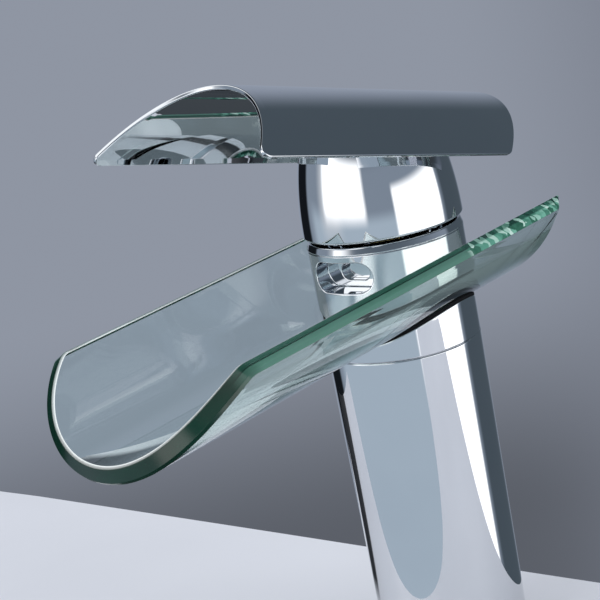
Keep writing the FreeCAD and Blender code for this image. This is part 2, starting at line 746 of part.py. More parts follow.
def handle_dome():
    """Hollow barrel cap with a socket for the stem; its top follows the lever's inside."""
    outer = common("dome_outer", half_ellipsoid("dome_skin", "dome_radius", "dome_rise"),
                   lever_cylinder("dome_top", "lever_inner_radius - slip_clearance / 2"))
    hollow = half_ellipsoid("dome_hollow", "dome_radius - dome_wall", "dome_hollow_rise")
    shell = cut("dome_shell", outer, hollow)
    boss = cylinder("dome_boss", "boss_radius", "dome_hollow_rise - boss_above_rim + past_face", "0", "0",
                    "rim_z + boss_above_rim")
    socket = block("dome_socket", "stem_half_width + slip_clearance", "-stem_half_width - slip_clearance",
                   "2 * (stem_half_width + slip_clearance)", "rim_z",
                   "stem_above_rim + slip_clearance")
    screw_hole = cross_cylinder("dome_screw_hole", "grub_radius", "stem_half_width", "boss_radius", "Y",
                                z="grub_z")
    plug_hole = cross_cylinder("dome_plug_hole", "index_radius", "plug_start", "dome_radius", "Y",
                               z="grub_z")
    return node(cut("dome_cut", fuse("dome_solid", shell, boss), socket, screw_hole, plug_hole), "handle_dome")


def grub_screw():
    return node(cross_cylinder("grub_rod", "grub_radius", "stem_half_width", "grub_length", "Y", z="grub_z"),
                "grub_screw")


def index_plug():
    """Plain plug in the skirt's rear, flush with the dome."""
    rod = cross_cylinder("index_rod", "index_radius", "plug_start", "dome_radius", "Y", z="grub_z")
    skin = half_ellipsoid("index_skin", "dome_radius", "dome_rise")
    inside = half_ellipsoid("index_inside", "dome_radius - dome_wall", "dome_hollow_rise")
    return node(cut("index_cut", common("index_common", rod, skin), inside), "index_plug")


def lever_plate():
    """Roof-tile lever: a bent plate, hollow side down, with both ends cut on a slant."""
    radius, wall, half = size("lever_outer_radius"), size("lever_thickness"), size("lever_half_angle")
    height = size("lever_crown_rise")
    front_run = size("lever_front_setback") / height
    rear_run = size("lever_rear_overhang") / height
    # drawn hollow side up: how far a point across the plate lies below its long edges
    drop = lambda w: height - radius * (1 - math.cos(w / radius))
    shape = bent_plate(radius, wall, half, lambda w: size("lever_front_reach") - front_run * drop(w),
                       lambda w: -size("lever_rear_reach") - rear_run * drop(w),
                       size("lever_front_corner"), size("lever_rear_corner"))
    plate = doc.addObject("Part::Feature", "lever_tile")
    plate.Shape = shape
    turned_over = FreeCAD.Placement(FreeCAD.Vector(0, height, 0), FreeCAD.Rotation(Z_AXIS, 180))
    lifted = FreeCAD.Placement(FreeCAD.Vector(0, 0, size("lever_edge_z")),
                               FreeCAD.Rotation(X_AXIS, 90 - size("lever_lift")))
    plate.Placement = lifted.multiply(turned_over)
    return node(plate, "lever_plate")


column_shell()
inlet_block()
base_seal()
riser("hot", "-inlet_offset_x")
riser("cold", "inlet_offset_x")
riser_seals()
fixing_stud()
horseshoe("clamp_rubber", "shoe_top_z")
horseshoe("clamp_plate", "plate_top_z")
stud_nut()
glass_collar()
saddle_layer("low_gasket", "lower_gasket", "head_radius - gasket_inset", "glass_hole_radius + free_clearance",
             "glass_outer_radius + gasket_thickness", "glass_outer_radius")
saddle_layer("sleeve", "glass_sleeve", "glass_hole_radius - slip_clearance", "neck_radius + slip_clearance",
             "glass_outer_radius + gasket_thickness", "glass_inner_radius - gasket_thickness")
saddle_layer("high_gasket", "upper_gasket", "head_radius - gasket_inset", "glass_hole_radius + free_clearance",
             "glass_inner_radius", "glass_inner_radius - gasket_thickness")
glass_spout()
neck_plug()
neck_seals()
outlet_head()
trim_ring()
cartridge_base()
port_seals()
fixed_disc()
moving_disc()
cartridge_housing()
housing_seal()
stem_carrier()
stem_pin()
stem()
cartridge_nut()
handle_dome()
grub_screw()
index_plug()
lever_plate()

doc.recompute()
for thing in doc.Objects:
    if "Invalid" in thing.State or "Error" in thing.State:
        raise RuntimeError("not computed: " + thing.Label)
for thing in NODES:
    if thing.Shape.isNull() or not thing.Shape.isValid() or not thing.Shape.Solids:
        raise RuntimeError("bad shape: " + thing.Label)

os.makedirs("parts", exist_ok=True)
for thing in NODES:
    thing.Shape.exportStep("parts/%s.step" % thing.Label)
    box = thing.Shape.BoundBox
    print("%-18s solids %d volume %9.1f  z %.1f..%.1f" % (
        thing.Label, len(thing.Shape.Solids), thing.Shape.Volume, box.ZMin, box.ZMax))
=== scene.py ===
"""Looks of a waterfall basin faucet: chrome column, bent glass trough, dome and roof-tile lever.

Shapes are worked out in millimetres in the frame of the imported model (+Z up, spout towards -Y,
origin on the column's axis in the plane of the deck) and are written to the meshes in metres.
"""
import json
import math

import bpy
import numpy as np
from mathutils import Matrix


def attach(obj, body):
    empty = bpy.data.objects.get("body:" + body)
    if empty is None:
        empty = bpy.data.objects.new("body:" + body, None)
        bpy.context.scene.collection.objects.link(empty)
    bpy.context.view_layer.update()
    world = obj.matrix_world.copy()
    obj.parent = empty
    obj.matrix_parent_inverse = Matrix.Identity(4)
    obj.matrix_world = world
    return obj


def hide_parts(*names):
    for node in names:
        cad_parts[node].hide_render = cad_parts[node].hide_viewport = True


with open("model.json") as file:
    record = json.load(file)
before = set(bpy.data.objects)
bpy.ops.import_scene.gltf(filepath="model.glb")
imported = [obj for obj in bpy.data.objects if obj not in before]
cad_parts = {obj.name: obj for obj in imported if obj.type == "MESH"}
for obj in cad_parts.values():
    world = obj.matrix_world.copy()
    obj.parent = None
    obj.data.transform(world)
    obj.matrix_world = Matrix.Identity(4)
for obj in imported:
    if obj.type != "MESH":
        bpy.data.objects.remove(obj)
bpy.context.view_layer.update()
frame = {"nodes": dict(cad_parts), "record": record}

MM = 0.001
WELD = 1e-4  # points that round to the same multiples of this are one
HALVINGS = 50  # steps of a search by halving
AROUND = 288  # points round a turned piece
TURN = np.linspace(0.0, 2.0 * np.pi, AROUND, endpoint=False)
RADIAL = np.stack([np.cos(TURN), np.sin(TURN), 0 * TURN], -1)
QUARTER = np.pi / 2.0
ACROSS, UP, DOWN = (np.array(v) for v in ([1.0, 0.0, 0.0], [0.0, 0.0, 1.0], [0.0, 0.0, -1.0]))

# ---------- sizes, in millimetres
DECK_THICKNESS = 20.0
COLUMN_FOOT, COLUMN_WIDE, COLUMN_INSIDE = 21.6, 22.3, 19.0  # radii
COLUMN_TOP, COLUMN_WEB = 96.5, 84.5
NECK_BORE, COLLAR_BORE = 14.05, 14.1
GASKET, GASKET_RADIUS, GASKET_BORE = 0.8, 22.15, 15.3  # the first is its thickness
TRIM_LOW, TRIM_TOP, TRIM_BORE = 127.6, 130.2, 18.45
RIM_Z = 131.0  # the dome's rim
GLASS_LOW, GLASS_RADIUS, GLASS_WALL = 102.4, 40.4, 5.0
GLASS_HALF, GLASS_TILT = math.radians(63.3), math.radians(2.0)
GLASS_TIP, GLASS_FRONT_ARC, GLASS_REAR, GLASS_REAR_LEAN = 118.5, 55.0, -36.3, 7.0
GLASS_CORNERS, GLASS_HOLE, ARRIS = (5.0, 1.5), 15.0, 0.75  # corners: front, rear
HEAD_RADIUS, OUTLET_Z, OUTLET_HALF, OUTLET_ROUND = 22.5, 121.3, 5.9, 4.3
DOME_RADIUS, DOME_RISE, DOME_WALL, DOME_HOLLOW = 23.0, 48.0, 1.4, 30.0
LEVER_RADIUS, LEVER_WALL = 35.7, 1.3
LEVER_HALF, LEVER_LIFT = math.radians(62.6), math.radians(13.5)
LEVER_EDGE_Z, LEVER_FRONT, LEVER_REAR = 150.05, 78.0, -23.5
LEVER_SETBACK, LEVER_OVERHANG = 17.1, 21.6
LEVER_CORNERS = (2.1, 4.0)  # front, rear
LEVER_RISE = LEVER_RADIUS * (1.0 - math.cos(LEVER_HALF))
STUD_Y = -11.5


# ---------- arrays and meshes
def unit(v):
    return v / np.linalg.norm(v, axis=-1, keepdims=True)


def softened(corners, closed=True, steps=6):
    """Outline whose corners are arcs tangent to both runs, each of the corner's own radius.

    corners are (across, up, radius); an open outline keeps its two end points as they are.
    Gives the points and their normals, to the right of the way the outline runs.
    """
    c = np.array(corners, float)
    p, radius = c[:, :2], c[:, 2]
    u, w = unit(np.roll(p, 1, 0) - p), unit(np.roll(p, -1, 0) - p)
    half = 0.5 * np.arccos(np.clip((u * w).sum(1), -1.0, 1.0))
    centre = p + unit(u + w) * (radius / np.sin(half))[:, None]
    reach = (radius / np.tan(half))[:, None]
    from_centre, to_centre = p + u * reach - centre, p + w * reach - centre
    start = np.arctan2(from_centre[:, 1], from_centre[:, 0])
    sweep = np.arctan2(to_centre[:, 1], to_centre[:, 0]) - start
    sweep = (sweep + np.pi) % (2.0 * np.pi) - np.pi
    angle = start[:, None] + sweep[:, None] * np.linspace(0.0, 1.0, steps)
    arc = np.stack([np.cos(angle), np.sin(angle)], -1)
    points = centre[:, None] + radius[:, None, None] * arc
    normals = arc * np.sign(sweep)[:, None, None]
    if closed:
        return points.reshape(-1, 2), normals.reshape(-1, 2)

    def side(a, b):
        return unit(np.array([[b[1] - a[1], a[0] - b[0]]]))

    return (np.concatenate([p[:1], points[1:-1].reshape(-1, 2), p[-1:]]),
            np.concatenate([side(p[0], p[1]), normals[1:-1].reshape(-1, 2), side(p[-2], p[-1])]))


def turned(corners, closed=True):
    """Rows of a surface of revolution: (r cos t, r sin t, z) for each outline point (r, z)."""
    def lift(a):
        level = np.repeat(a[:, None, 1:], AROUND, 1)
        return np.concatenate([a[:, None, :1] * RADIAL[:, :2], level], -1)

    points, normals = softened(corners, closed)
    return lift(points), lift(normals)


def strips(rows, normals, closed=False, first_pole=None, last_pole=None):
    """Quads between neighbouring closed rows of points; poles are (point, normal) fans."""
    count, around = rows.shape[:2]
    index = np.arange(count * around).reshape(count, around)
    low = index if closed else index[:-1]
    high = np.roll(index, -1, 0) if closed else index[1:]
    faces = [np.stack([low, np.roll(low, -1, 1), np.roll(high, -1, 1), high], -1).reshape(-1, 4)]
    points, ways = [rows.reshape(-1, 3)], [normals.reshape(-1, 3)]
    for pole, row, order in ((first_pole, index[0], 1), (last_pole, index[-1], -1)):
        if pole is None:
            continue
        tip = sum(len(p) for p in points)
        points.append(np.array(pole[0], float).reshape(1, 3))
        ways.append(np.array(pole[1], float).reshape(1, 3))
        faces.append(np.stack([np.roll(row, -1)[::order], row[::order], np.full(around, tip)], -1))
    return np.concatenate(points), np.concatenate(ways), faces


def stacked(rows):
    """Rows of (points, normals) as one array of points and one of normals."""
    return np.stack([r[0] for r in rows]), np.stack([r[1] for r in rows])


def welded(parts):
    """Several sets of points and faces as one, with points in the same place made one."""
    points, ways = (np.concatenate([part[k] for part in parts]) for k in (0, 1))
    starts = np.cumsum([0] + [len(part[0]) for part in parts])
    faces = [f + start for part, start in zip(parts, starts) for f in part[2]]
    key = np.round(points / WELD).astype(np.int64)
    _, first, same = np.unique(key, axis=0, return_index=True, return_inverse=True)
    total = np.zeros((len(first), 3))
    np.add.at(total, same.ravel(), ways)
    return points[first], unit(total), [same.ravel()[f] for f in faces]


def added(name, data):
    """New object at the origin, linked to the scene."""
    made = bpy.data.objects.new(name, data)
    bpy.context.scene.collection.objects.link(made)
    return made


def piece(name, cad_node, part, slot="polished_chrome", body="faucet_body", marks=None):
    """One finished piece from part: points in mm, outward normals, lists of faces.

    Each list of faces is turned as a whole so that it looks along the normals. marks are named
    numbers for each point, which the material reads.
    """
    points, ways, faces = part
    ways = unit(ways)
    outward = []
    for f in faces:
        a, b, c = points[f[:, 0]], points[f[:, 1]], points[f[:, 2]]
        across = np.cross(b - a, c - a)
        away = np.einsum("ij,ij->i", across, ways[f].sum(1))
        f = f[(np.linalg.norm(across, axis=1) > 0) | (f.shape[1] == 4)]
        outward.append(f if np.sum(away) > 0 else f[:, ::-1])
    # a welded quad can have the same corner twice: it becomes a triangle
    corners = [[v for k, v in enumerate(row) if v != row[k - 1]]
               for f in outward for row in f.tolist()]
    mesh = bpy.data.meshes.new(name)
    mesh.from_pydata((points * MM).tolist(), [], [row for row in corners if len(set(row)) > 2])
    mesh.validate()
    mesh.update()
    mesh.shade_smooth()
    mesh.normals_split_custom_set_from_vertices(ways.tolist())
    for label, values in (marks or {}).items():
        numbers = mesh.attributes.new(label, "FLOAT", "POINT")
        numbers.data.foreach_set("value", values.astype(np.float32))
    made = added(name, mesh)
    made.data.materials.append(FINISH[slot])
    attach(made, body)
    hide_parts(cad_node)


# ---------- materials; places are in metres, the glass's depth mark is in millimetres
def node(tree, kind, inputs=None, **settings):
    """New shader node; inputs are numbers, colours or other nodes' outputs."""
    made = tree.nodes.new(kind)
    for key, value in settings.items():
        setattr(made, key, value)
    for key, value in (inputs or {}).items():
        if isinstance(value, bpy.types.NodeSocket):
            tree.links.new(value, made.inputs[key])
        else:
            made.inputs[key].default_value = value
    return made


def maths(tree, operation, a, b=0.0, c=0.0):
    return node(tree, "ShaderNodeMath", {0: a, 1: b, 2: c}, operation=operation).outputs[0]


def ramp(tree, value, stops):
    """Colour ramp through (place, colour) stops."""
    made = node(tree, "ShaderNodeValToRGB", {"Fac": value})
    while len(made.color_ramp.elements) < len(stops):
        made.color_ramp.elements.new(0.5)
    for element, (place, colour) in zip(made.color_ramp.elements, stops):
        element.position, element.color = place, (*colour, 1.0)
    return made.outputs["Color"]


def noise(tree, where, scale, detail=3.0, roughness=0.5):
    return node(tree, "ShaderNodeTexNoise", {
        "Vector": where, "Scale": scale, "Detail": detail, "Roughness": roughness}).outputs["Fac"]


def stretched(tree, where, scale):
    return node(tree, "ShaderNodeMapping", {"Vector": where, "Scale": scale}).outputs["Vector"]


def between(tree, value, low, high, out_low=0.0, out_high=1.0):
    """Value from low to high as out_low to out_high, held at both ends."""
    return node(tree, "ShaderNodeMapRange", {
        "Value": value, "From Min": low, "From Max": high,
        "To Min": out_low, "To Max": out_high}).outputs["Result"]


def point_mark(tree, name):
    """A piece's own number for each point."""
    return node(tree, "ShaderNodeAttribute", attribute_name=name,
                attribute_type="GEOMETRY").outputs["Fac"]


def mixed(tree, factor, a, b, way="MIX"):
    """Colour a where factor is 0 and b where it is 1; each is a colour or a socket."""
    made = node(tree, "ShaderNodeMix", {"Factor": factor}, data_type="RGBA", blend_type=way)
    colour_a, colour_b, colour_out = made.inputs[6], made.inputs[7], made.outputs[2]
    for socket, colour in ((colour_a, a), (colour_b, b)):
        if isinstance(colour, bpy.types.NodeSocket):
            tree.links.new(colour, socket)
        else:
            socket.default_value = (*colour, 1.0)
    return colour_out


def shader(name, **uniform):
    """Material with one Principled shader whose uniform values sit on its own sockets."""
    material = bpy.data.materials.new(name)
    material.use_nodes = True
    tree = material.node_tree
    tree.nodes.clear()
    surface = node(tree, "ShaderNodeBsdfPrincipled",
                   {key.replace("_", " "): value for key, value in uniform.items()})
    out = node(tree, "ShaderNodeOutputMaterial", {"Surface": surface.outputs["BSDF"]})
    place = node(tree, "ShaderNodeTexCoord").outputs["Object"]
    return material, tree, surface, out, place


def feed(tree, surface, **values):
    """Links sockets to the shader's inputs, named with _ for a space."""
    for key, value in values.items():
        tree.links.new(value, surface.inputs[key.replace("_", " ")])


def bump(tree, surface, height, strength, distance):
    made = node(tree, "ShaderNodeBump",
                {"Height": height, "Strength": strength, "Distance": distance})
    feed(tree, surface, Normal=made.outputs["Normal"])


def polished_chrome():
    """Mirror chrome: faint wipe marks in the gloss and the plate's slow waviness."""
    material, tree, surface, _, place = shader("polished_chrome", Metallic=1.0)
    wiped = noise(tree, stretched(tree, place, (1.0, 1.0, 0.35)), 90.0, 5.0, 0.6)
    tone = ramp(tree, noise(tree, place, 25.0), [
        (0.3, (0.70, 0.72, 0.75)), (0.7, (0.75, 0.765, 0.79))])
    feed(tree, surface, Base_Color=tone, Roughness=between(tree, wiped, 0.45, 0.8, 0.012, 0.05))
    bump(tree, surface, noise(tree, place, 38.0, 2.0), 0.06, 0.0006)
    return material


def tempered_glass():
    """Clear float glass with a slow roller wave and a cut edge, green from the sheet's depth.

    The cut has two bands, the inner one deeper, and a dark line between them. It is clean and dark
    round the front, and its long runs break up towards the rear into light and dark facets, which
    are painted reflections. The near-white arrises are a painted highlight.
    """
    material, tree, surface, out, place = shader("tempered_glass", IOR=1.5)
    cut, depth, arris, rear = (point_mark(tree, name) for name in ("cut", "depth", "arris", "rear"))
    along = node(tree, "ShaderNodeSeparateXYZ", {0: place}).outputs["Y"]
    facets = node(tree, "ShaderNodeTexVoronoi", {
        "Vector": stretched(tree, place, (0.5, 1.0, 0.6)), "Scale": 640.0})
    facet = node(tree, "ShaderNodeSeparateColor", {0: facets.outputs["Color"]}).outputs[0]
    band = ramp(tree, between(tree, depth, ARRIS, GLASS_WALL - ARRIS), [
        (0.0, (0.10, 0.24, 0.185)), (0.46, (0.075, 0.19, 0.145)), (0.53, (0.004, 0.02, 0.014)),
        (0.62, (0.022, 0.085, 0.06)), (1.0, (0.035, 0.12, 0.088))])
    # painted reflection: the light and dark facets of the edge's long runs stand in for its
    # internal reflections
    light = ramp(tree, facet, [
        (0.25, (0.03, 0.14, 0.09)), (0.45, (0.11, 0.34, 0.25)),
        (0.70, (0.20, 0.50, 0.38)), (0.88, (0.62, 0.85, 0.76))])
    deep = ramp(tree, facet, [
        (0.3, (0.008, 0.05, 0.035)), (0.75, (0.04, 0.17, 0.12)), (0.95, (0.4, 0.65, 0.55))])
    painted_glint_facets = mixed(tree, between(tree, depth, 2.1, 2.7), light, deep)
    long_run = mixed(tree, between(tree, along, -0.0085, -0.0055), band, painted_glint_facets)
    clean = ramp(tree, noise(tree, place, 60.0, 2.0), [
        (0.35, (0.002, 0.020, 0.012)), (0.7, (0.006, 0.040, 0.026))])
    green = mixed(tree, between(tree, along, -0.101, -0.092), clean, long_run)
    colour = mixed(tree, cut, (0.90, 0.93, 0.92), green)
    colour = mixed(tree, rear, colour, (0.60, 0.72, 0.69))
    # painted highlight: the arrises are near-white and mostly opaque, standing in for the bright
    # internal reflection along them
    colour = mixed(tree, arris, colour, (0.92, 0.97, 0.95))

    cut_dull, arris_dull, rear_dull, cut_rough = (
        maths(tree, "MULTIPLY", value, share)
        for value, share in ((cut, 0.82), (arris, 0.85), (rear, 0.6), (cut, 0.12)))
    dull = maths(tree, "MAXIMUM", maths(tree, "MAXIMUM", cut_dull, arris_dull), rear_dull)
    wiped = between(tree, noise(tree, place, 160.0, 4.0), 0.5, 0.9, 0.0, 0.05)
    feed(tree, surface, Base_Color=colour,
         Transmission_Weight=maths(tree, "SUBTRACT", 1.0, dull),
         Roughness=maths(tree, "ADD", wiped, cut_rough))
    bump(tree, surface, noise(tree, place, 14.0, 1.0), 0.08, 0.001)
    tint = node(tree, "ShaderNodeVolumeAbsorption",
                {"Color": (0.25, 0.80, 0.62, 1.0), "Density": 20.0})
    tree.links.new(tint.outputs["Volume"], out.inputs["Volume"])
    return material


def zinc_steel():
    """Zinc-plated steel: mottled spangle with a faint warm cast."""
    material, tree, surface, _, place = shader("zinc_steel", Metallic=1.0)
    spangle = node(tree, "ShaderNodeTexVoronoi", {"Vector": place, "Scale": 260.0})
    gloss = between(tree, spangle.outputs["Distance"], 0.0, 0.8, 0.28, 0.45)
    tone = ramp(tree, noise(tree, place, 120.0), [
        (0.3, (0.52, 0.53, 0.52)), (0.7, (0.68, 0.68, 0.66))])
    feed(tree, surface, Base_Color=tone, Roughness=gloss)
    bump(tree, surface, noise(tree, place, 400.0), 0.15, 0.0001)
    return material


def grained(name, tone, stops, grain, gloss, relief, stretch=(1.0, 1.0, 1.0), **uniform):
    """Surface with a narrow range of tone, and of gloss and relief over a fine grain.

    tone and grain are the (scale, detail) of their noises, stops the colour ramp's, gloss the
    roughness in the grain's hollows and on its tops, and relief the bump's strength and distance.
    """
    material, tree, surface, _, place = shader(name, **uniform)
    grains = noise(tree, stretched(tree, place, stretch), *grain)
    feed(tree, surface, Base_Color=ramp(tree, noise(tree, place, *tone), stops),
         Roughness=between(tree, grains, 0.3, 0.7, *gloss))
    bump(tree, surface, grains, *relief)
    return material


def moulded(name, low, high, rough, grain):
    """Moulded or lapped surface between two tones, with a grain of that scale."""
    return grained(name, (70.0, 3.0), [(0.3, low), (0.7, high)], (grain, 3.0),
                   (rough, rough + 0.12), (0.1, 0.00005))


FINISH = {
    "polished_chrome": polished_chrome(),
    "tempered_glass": tempered_glass(),
    # matt and nearly black
    "black_rubber": grained(
        "black_rubber", (60.0, 3.0), [(0.3, (0.003, 0.003, 0.004)), (0.8, (0.008, 0.008, 0.010))],
        (900.0, 4.0), (0.55, 0.75), (0.3, 0.0001), Specular_IOR_Level=0.1),
    # machined, with fine turning lines across the axis and a little tarnish
    "bare_brass": grained(
        "bare_brass", (90.0, 4.0), [(0.35, (0.50, 0.34, 0.13)), (0.7, (0.72, 0.55, 0.26))],
        (12.0, 3.0), (0.2, 0.38), (0.2, 0.0001), (4.0, 4.0, 260.0), Metallic=1.0),
    "zinc_steel": zinc_steel(),
    "white_plastic": moulded("white_plastic", (0.74, 0.74, 0.71), (0.80, 0.80, 0.77), 0.38, 600.0),
    "grey_plastic": moulded("grey_plastic", (0.25, 0.26, 0.27), (0.31, 0.32, 0.33), 0.25, 800.0),
    "ceramic_disc": moulded("ceramic_disc", (0.82, 0.80, 0.75), (0.88, 0.86, 0.82), 0.08, 1200.0),
}


# ---------- the two bent plates
class Bend:
    """Frame of a bent plate: along it, up from its outside's lowest line to its inside, and X.

    The outside of the lever, which lies hollow side down, has its lowest line on top.
    """

    def __init__(self, radius, wall, half, along, up, origin):
        self.radius, self.wall, self.half = radius, wall, half
        self.along, self.up, self.origin = np.array(along), np.array(up), np.array(origin)

    def outward(self, phi):
        """Normal of the outside at bend angle phi."""
        return np.sin(phi)[..., None] * ACROSS - np.cos(phi)[..., None] * self.up

    def at(self, phi, s, depth=0.0):
        """Point at bend angle phi, s along the plate, depth below the outside."""
        centre = self.origin + self.radius * self.up
        return centre + np.asarray(s)[..., None] * self.along + \
            np.asarray(self.radius - depth)[..., None] * self.outward(phi)

    def height(self, phi):
        """Height of the outside at bend angle phi above its lowest line."""
        return self.radius - self.radius * np.cos(phi)


GLASS = Bend(GLASS_RADIUS, GLASS_WALL, GLASS_HALF,
             (0.0, -math.cos(GLASS_TILT), -math.sin(GLASS_TILT)),
             (0.0, -math.sin(GLASS_TILT), math.cos(GLASS_TILT)), (0.0, 0.0, GLASS_LOW))
LEVER_UP = np.array([0.0, math.sin(LEVER_LIFT), math.cos(LEVER_LIFT)])
LEVER = Bend(LEVER_RADIUS, LEVER_WALL, LEVER_HALF,
             (0.0, -math.cos(LEVER_LIFT), math.sin(LEVER_LIFT)), -LEVER_UP,
             LEVER_EDGE_Z * UP + LEVER_RISE * LEVER_UP)


def plate_outline(bend, front, rear, corners, count):
    """Outline on the developed outside: long edges, end curves, and an arc at each corner.

    front and rear give the reach at a distance w across. Each corner's arc is centred one radius
    inside the long edge, at the place along it where the end curve is one radius away. Gives the
    points (w, s), evenly spaced, and their outward normals.
    """
    edge = bend.radius * bend.half
    w = np.linspace(-edge, edge, 4001)  # fine enough for the arcs to meet the end curves

    def end_arc(curve, corner, sense):
        """Arc at +X from the long edge to the end curve, and the end curve's own run."""
        s = curve(w)
        low, high = s[-1] - sense * 6.0 * corner, s[-1] + sense * 2.0 * corner
        for _ in range(HALVINGS):
            middle = (low + high) / 2.0
            clear = np.hypot(w - (edge - corner), s - middle).min() > corner
            low, high = (middle, high) if clear else (low, middle)
        touch = np.argmin(np.hypot(w - (edge - corner), s - low))
        stop = math.atan2(sense * (s[touch] - low), w[touch] - (edge - corner))
        angle = np.linspace(0.0, stop, 40)
        arc = np.stack([edge - corner + corner * np.cos(angle),
                        low + sense * corner * np.sin(angle)], -1)
        across = np.abs(w) < w[touch]
        return arc, np.stack([w[across], s[across]], -1)

    head_arc, head_run = end_arc(front, corners[0], 1.0)
    tail_arc, tail_run = end_arc(rear, corners[1], -1.0)
    mirror = np.array([-1.0, 1.0])
    path = np.concatenate([tail_arc[::-1], head_arc, head_run[::-1], head_arc[::-1] * mirror,
                           tail_arc * mirror, tail_run, tail_arc[-1:]])
    length = np.concatenate([[0.0], np.cumsum(np.hypot(*np.diff(path, axis=0).T))])
    even = np.linspace(0.0, length[-1], count, endpoint=False)
    line = np.stack([np.interp(even, length, path[:, k]) for k in (0, 1)], -1)
    step = np.roll(line, -1, 0) - np.roll(line, 1, 0)
    return line, unit(np.stack([step[:, 1], -step[:, 0]], -1))


def bent_plate(bend, front, rear, corners, edge, middle, lean=0.0, count=960, rings=34):
    """Bent plate with dressed edges that stand square to its surface.

    The rear edge may lean: its points move back by lean * depth / wall, fading out over the rear
    half. edge is the outline of the dressed edge as (inset, depth, radius) corners; middle gives
    the row that closes the plate at its centre, for the outside and the inside. Gives the edge as
    a part, and rows of points and normals for the outside and the inside.
    """
    line, way = plate_outline(bend, front, rear, corners, count)
    phi = line[:, 0] / bend.radius
    full = 0.8  # share of the way to the rear edge from which the lean is whole
    rearward = np.clip(line[:, 1] / rear(line[:, 0]), 0.0, full) / full

    def reach(depth):
        return line[:, 1] - lean * depth / bend.wall * rearward ** 2 * (3.0 - 2.0 * rearward)

    outer = bend.at(phi, line[:, 1])
    tangent = unit(np.roll(outer, -1, 0) - np.roll(outer, 1, 0))
    wall = unit(bend.at(phi, reach(bend.wall), bend.wall) - outer)
    facing = unit(np.cross(tangent, wall))
    side = way[:, :1] * np.stack([np.cos(phi), 0 * phi, 0 * phi], -1) + way[:, 1:] * bend.along
    facing *= np.sign(np.einsum("ij,ij->i", facing, side))[:, None]
    profile, bearing = softened([(-i, d, r) for i, d, r in edge], closed=False)
    bearing = bearing * (1.0 if bearing[0, 1] < 0 else -1.0)
    rows = np.stack([bend.at((line[:, 0] + o * way[:, 0]) / bend.radius,
                             reach(d) + o * way[:, 1], d) for o, d in profile])
    normals = np.stack([b[0] * facing - b[1] * bend.outward(phi) for b in bearing])
    made = [strips(rows, normals)]
    inward = (np.linspace(0.0, 1.0, rings) ** 1.5)[:, None, None]  # rows closer near the edge
    for depth, sign, inset in ((0.0, 1.0, profile[0, 0]), (bend.wall, -1.0, profile[-1, 0])):
        rim = np.stack([line[:, 0] + inset * way[:, 0], reach(depth) + inset * way[:, 1]], -1)
        sheet = rim + (middle(rim, depth) - rim) * inward
        sheet_phi = sheet[..., 0] / bend.radius
        made.append((bend.at(sheet_phi, sheet[..., 1], depth), sign * bend.outward(sheet_phi)))
    return made


def saddle(x, y, radius):
    """Height of the lower side of the cylinder of that radius on the trough's axis."""
    sink = GLASS_RADIUS + GLASS_LOW * math.cos(GLASS_TILT) - np.sqrt(radius ** 2 - x ** 2)
    return (sink + y * math.sin(GLASS_TILT)) / math.cos(GLASS_TILT)


# ---------- rings with saddle faces
def saddle_face(radius, sense):
    """Face on the trough's cylinder of that radius; sense is 1 if it looks away from its axis.

    A face gives the heights and normals of a row of radius r about the column's axis.
    """
    def face(r):
        x, y = r * np.cos(TURN), r * np.sin(TURN)
        return saddle(x, y, radius), sense * GLASS.outward(np.arcsin(x / radius))
    return face


def flat_face(z, sense):
    def face(r):
        return np.full(AROUND, z), np.tile([0.0, 0.0, sense], (AROUND, 1))
    return face


def ring_row(r, z, way):
    return np.stack([r * np.cos(TURN), r * np.sin(TURN), z], -1), unit(way)


def ring_corner(r, face, sense, outer, edge, leaving, steps=5):
    """Rounded corner between a round wall of radius r and a face.

    sense is 1 where the face closes the top; outer is 1 for the outer wall and -1 for the bore.
    The arc runs from the wall to the face if leaving, else from the face to the wall.
    """
    rows = []
    for a in np.linspace(0.0, QUARTER, steps)[::1 if leaving else -1]:
        at = r - outer * edge * (1.0 - math.cos(a))
        z, way = face(at)
        rows.append(ring_row(at, z - sense * edge * (1.0 - math.sin(a)),
                             math.cos(a) * (outer * RADIAL) + math.sin(a) * way))
    return rows


def face_rows(start, end, face, count):
    return [ring_row(r, *face(r)) for r in np.linspace(start, end, count + 2)[1:-1]]


def ring_between(outer, inner, low, high, edge, across=6):
    """Ring about the column's axis between two faces, all four corners rounded."""
    rows = ring_corner(outer, low, -1.0, 1.0, edge, False)
    rows += ring_corner(outer, high, 1.0, 1.0, edge, True)
    rows += face_rows(outer - edge, inner + edge, high, across)
    rows += ring_corner(inner, high, 1.0, -1.0, edge, False)
    rows += ring_corner(inner, low, -1.0, -1.0, edge, True)
    rows += face_rows(inner + edge, outer - edge, low, across)
    return strips(*stacked(rows), closed=True)


# ---------- pieces of the body
def column():
    rows = turned([
        (COLUMN_INSIDE, 0.0, 0.2), (COLUMN_FOOT, 0.0, 0.35), (COLUMN_WIDE, COLUMN_TOP, 0.5),
        (NECK_BORE, COLUMN_TOP, 0.2), (NECK_BORE, COLUMN_WEB, 0.2),
        (COLUMN_INSIDE, COLUMN_WEB, 0.3)])
    piece("column", "column_shell", strips(*rows, closed=True))


def saddle_rings():
    """Collar under the glass and the two gaskets that the glass lies between."""
    seat, under = GLASS_RADIUS + GASKET, GLASS_RADIUS - GLASS_WALL
    piece("collar", "glass_collar", ring_between(
        COLUMN_WIDE, COLLAR_BORE, flat_face(COLUMN_TOP, -1.0), saddle_face(seat, -1.0), 0.4))
    for name, cad_node, low, high in (
            ("gasket_below", "lower_gasket", seat, GLASS_RADIUS),
            ("gasket_above", "upper_gasket", under, under - GASKET)):
        piece(name, cad_node, ring_between(
            GASKET_RADIUS, GASKET_BORE, saddle_face(low, 1.0), saddle_face(high, -1.0), 0.15),
            "black_rubber")


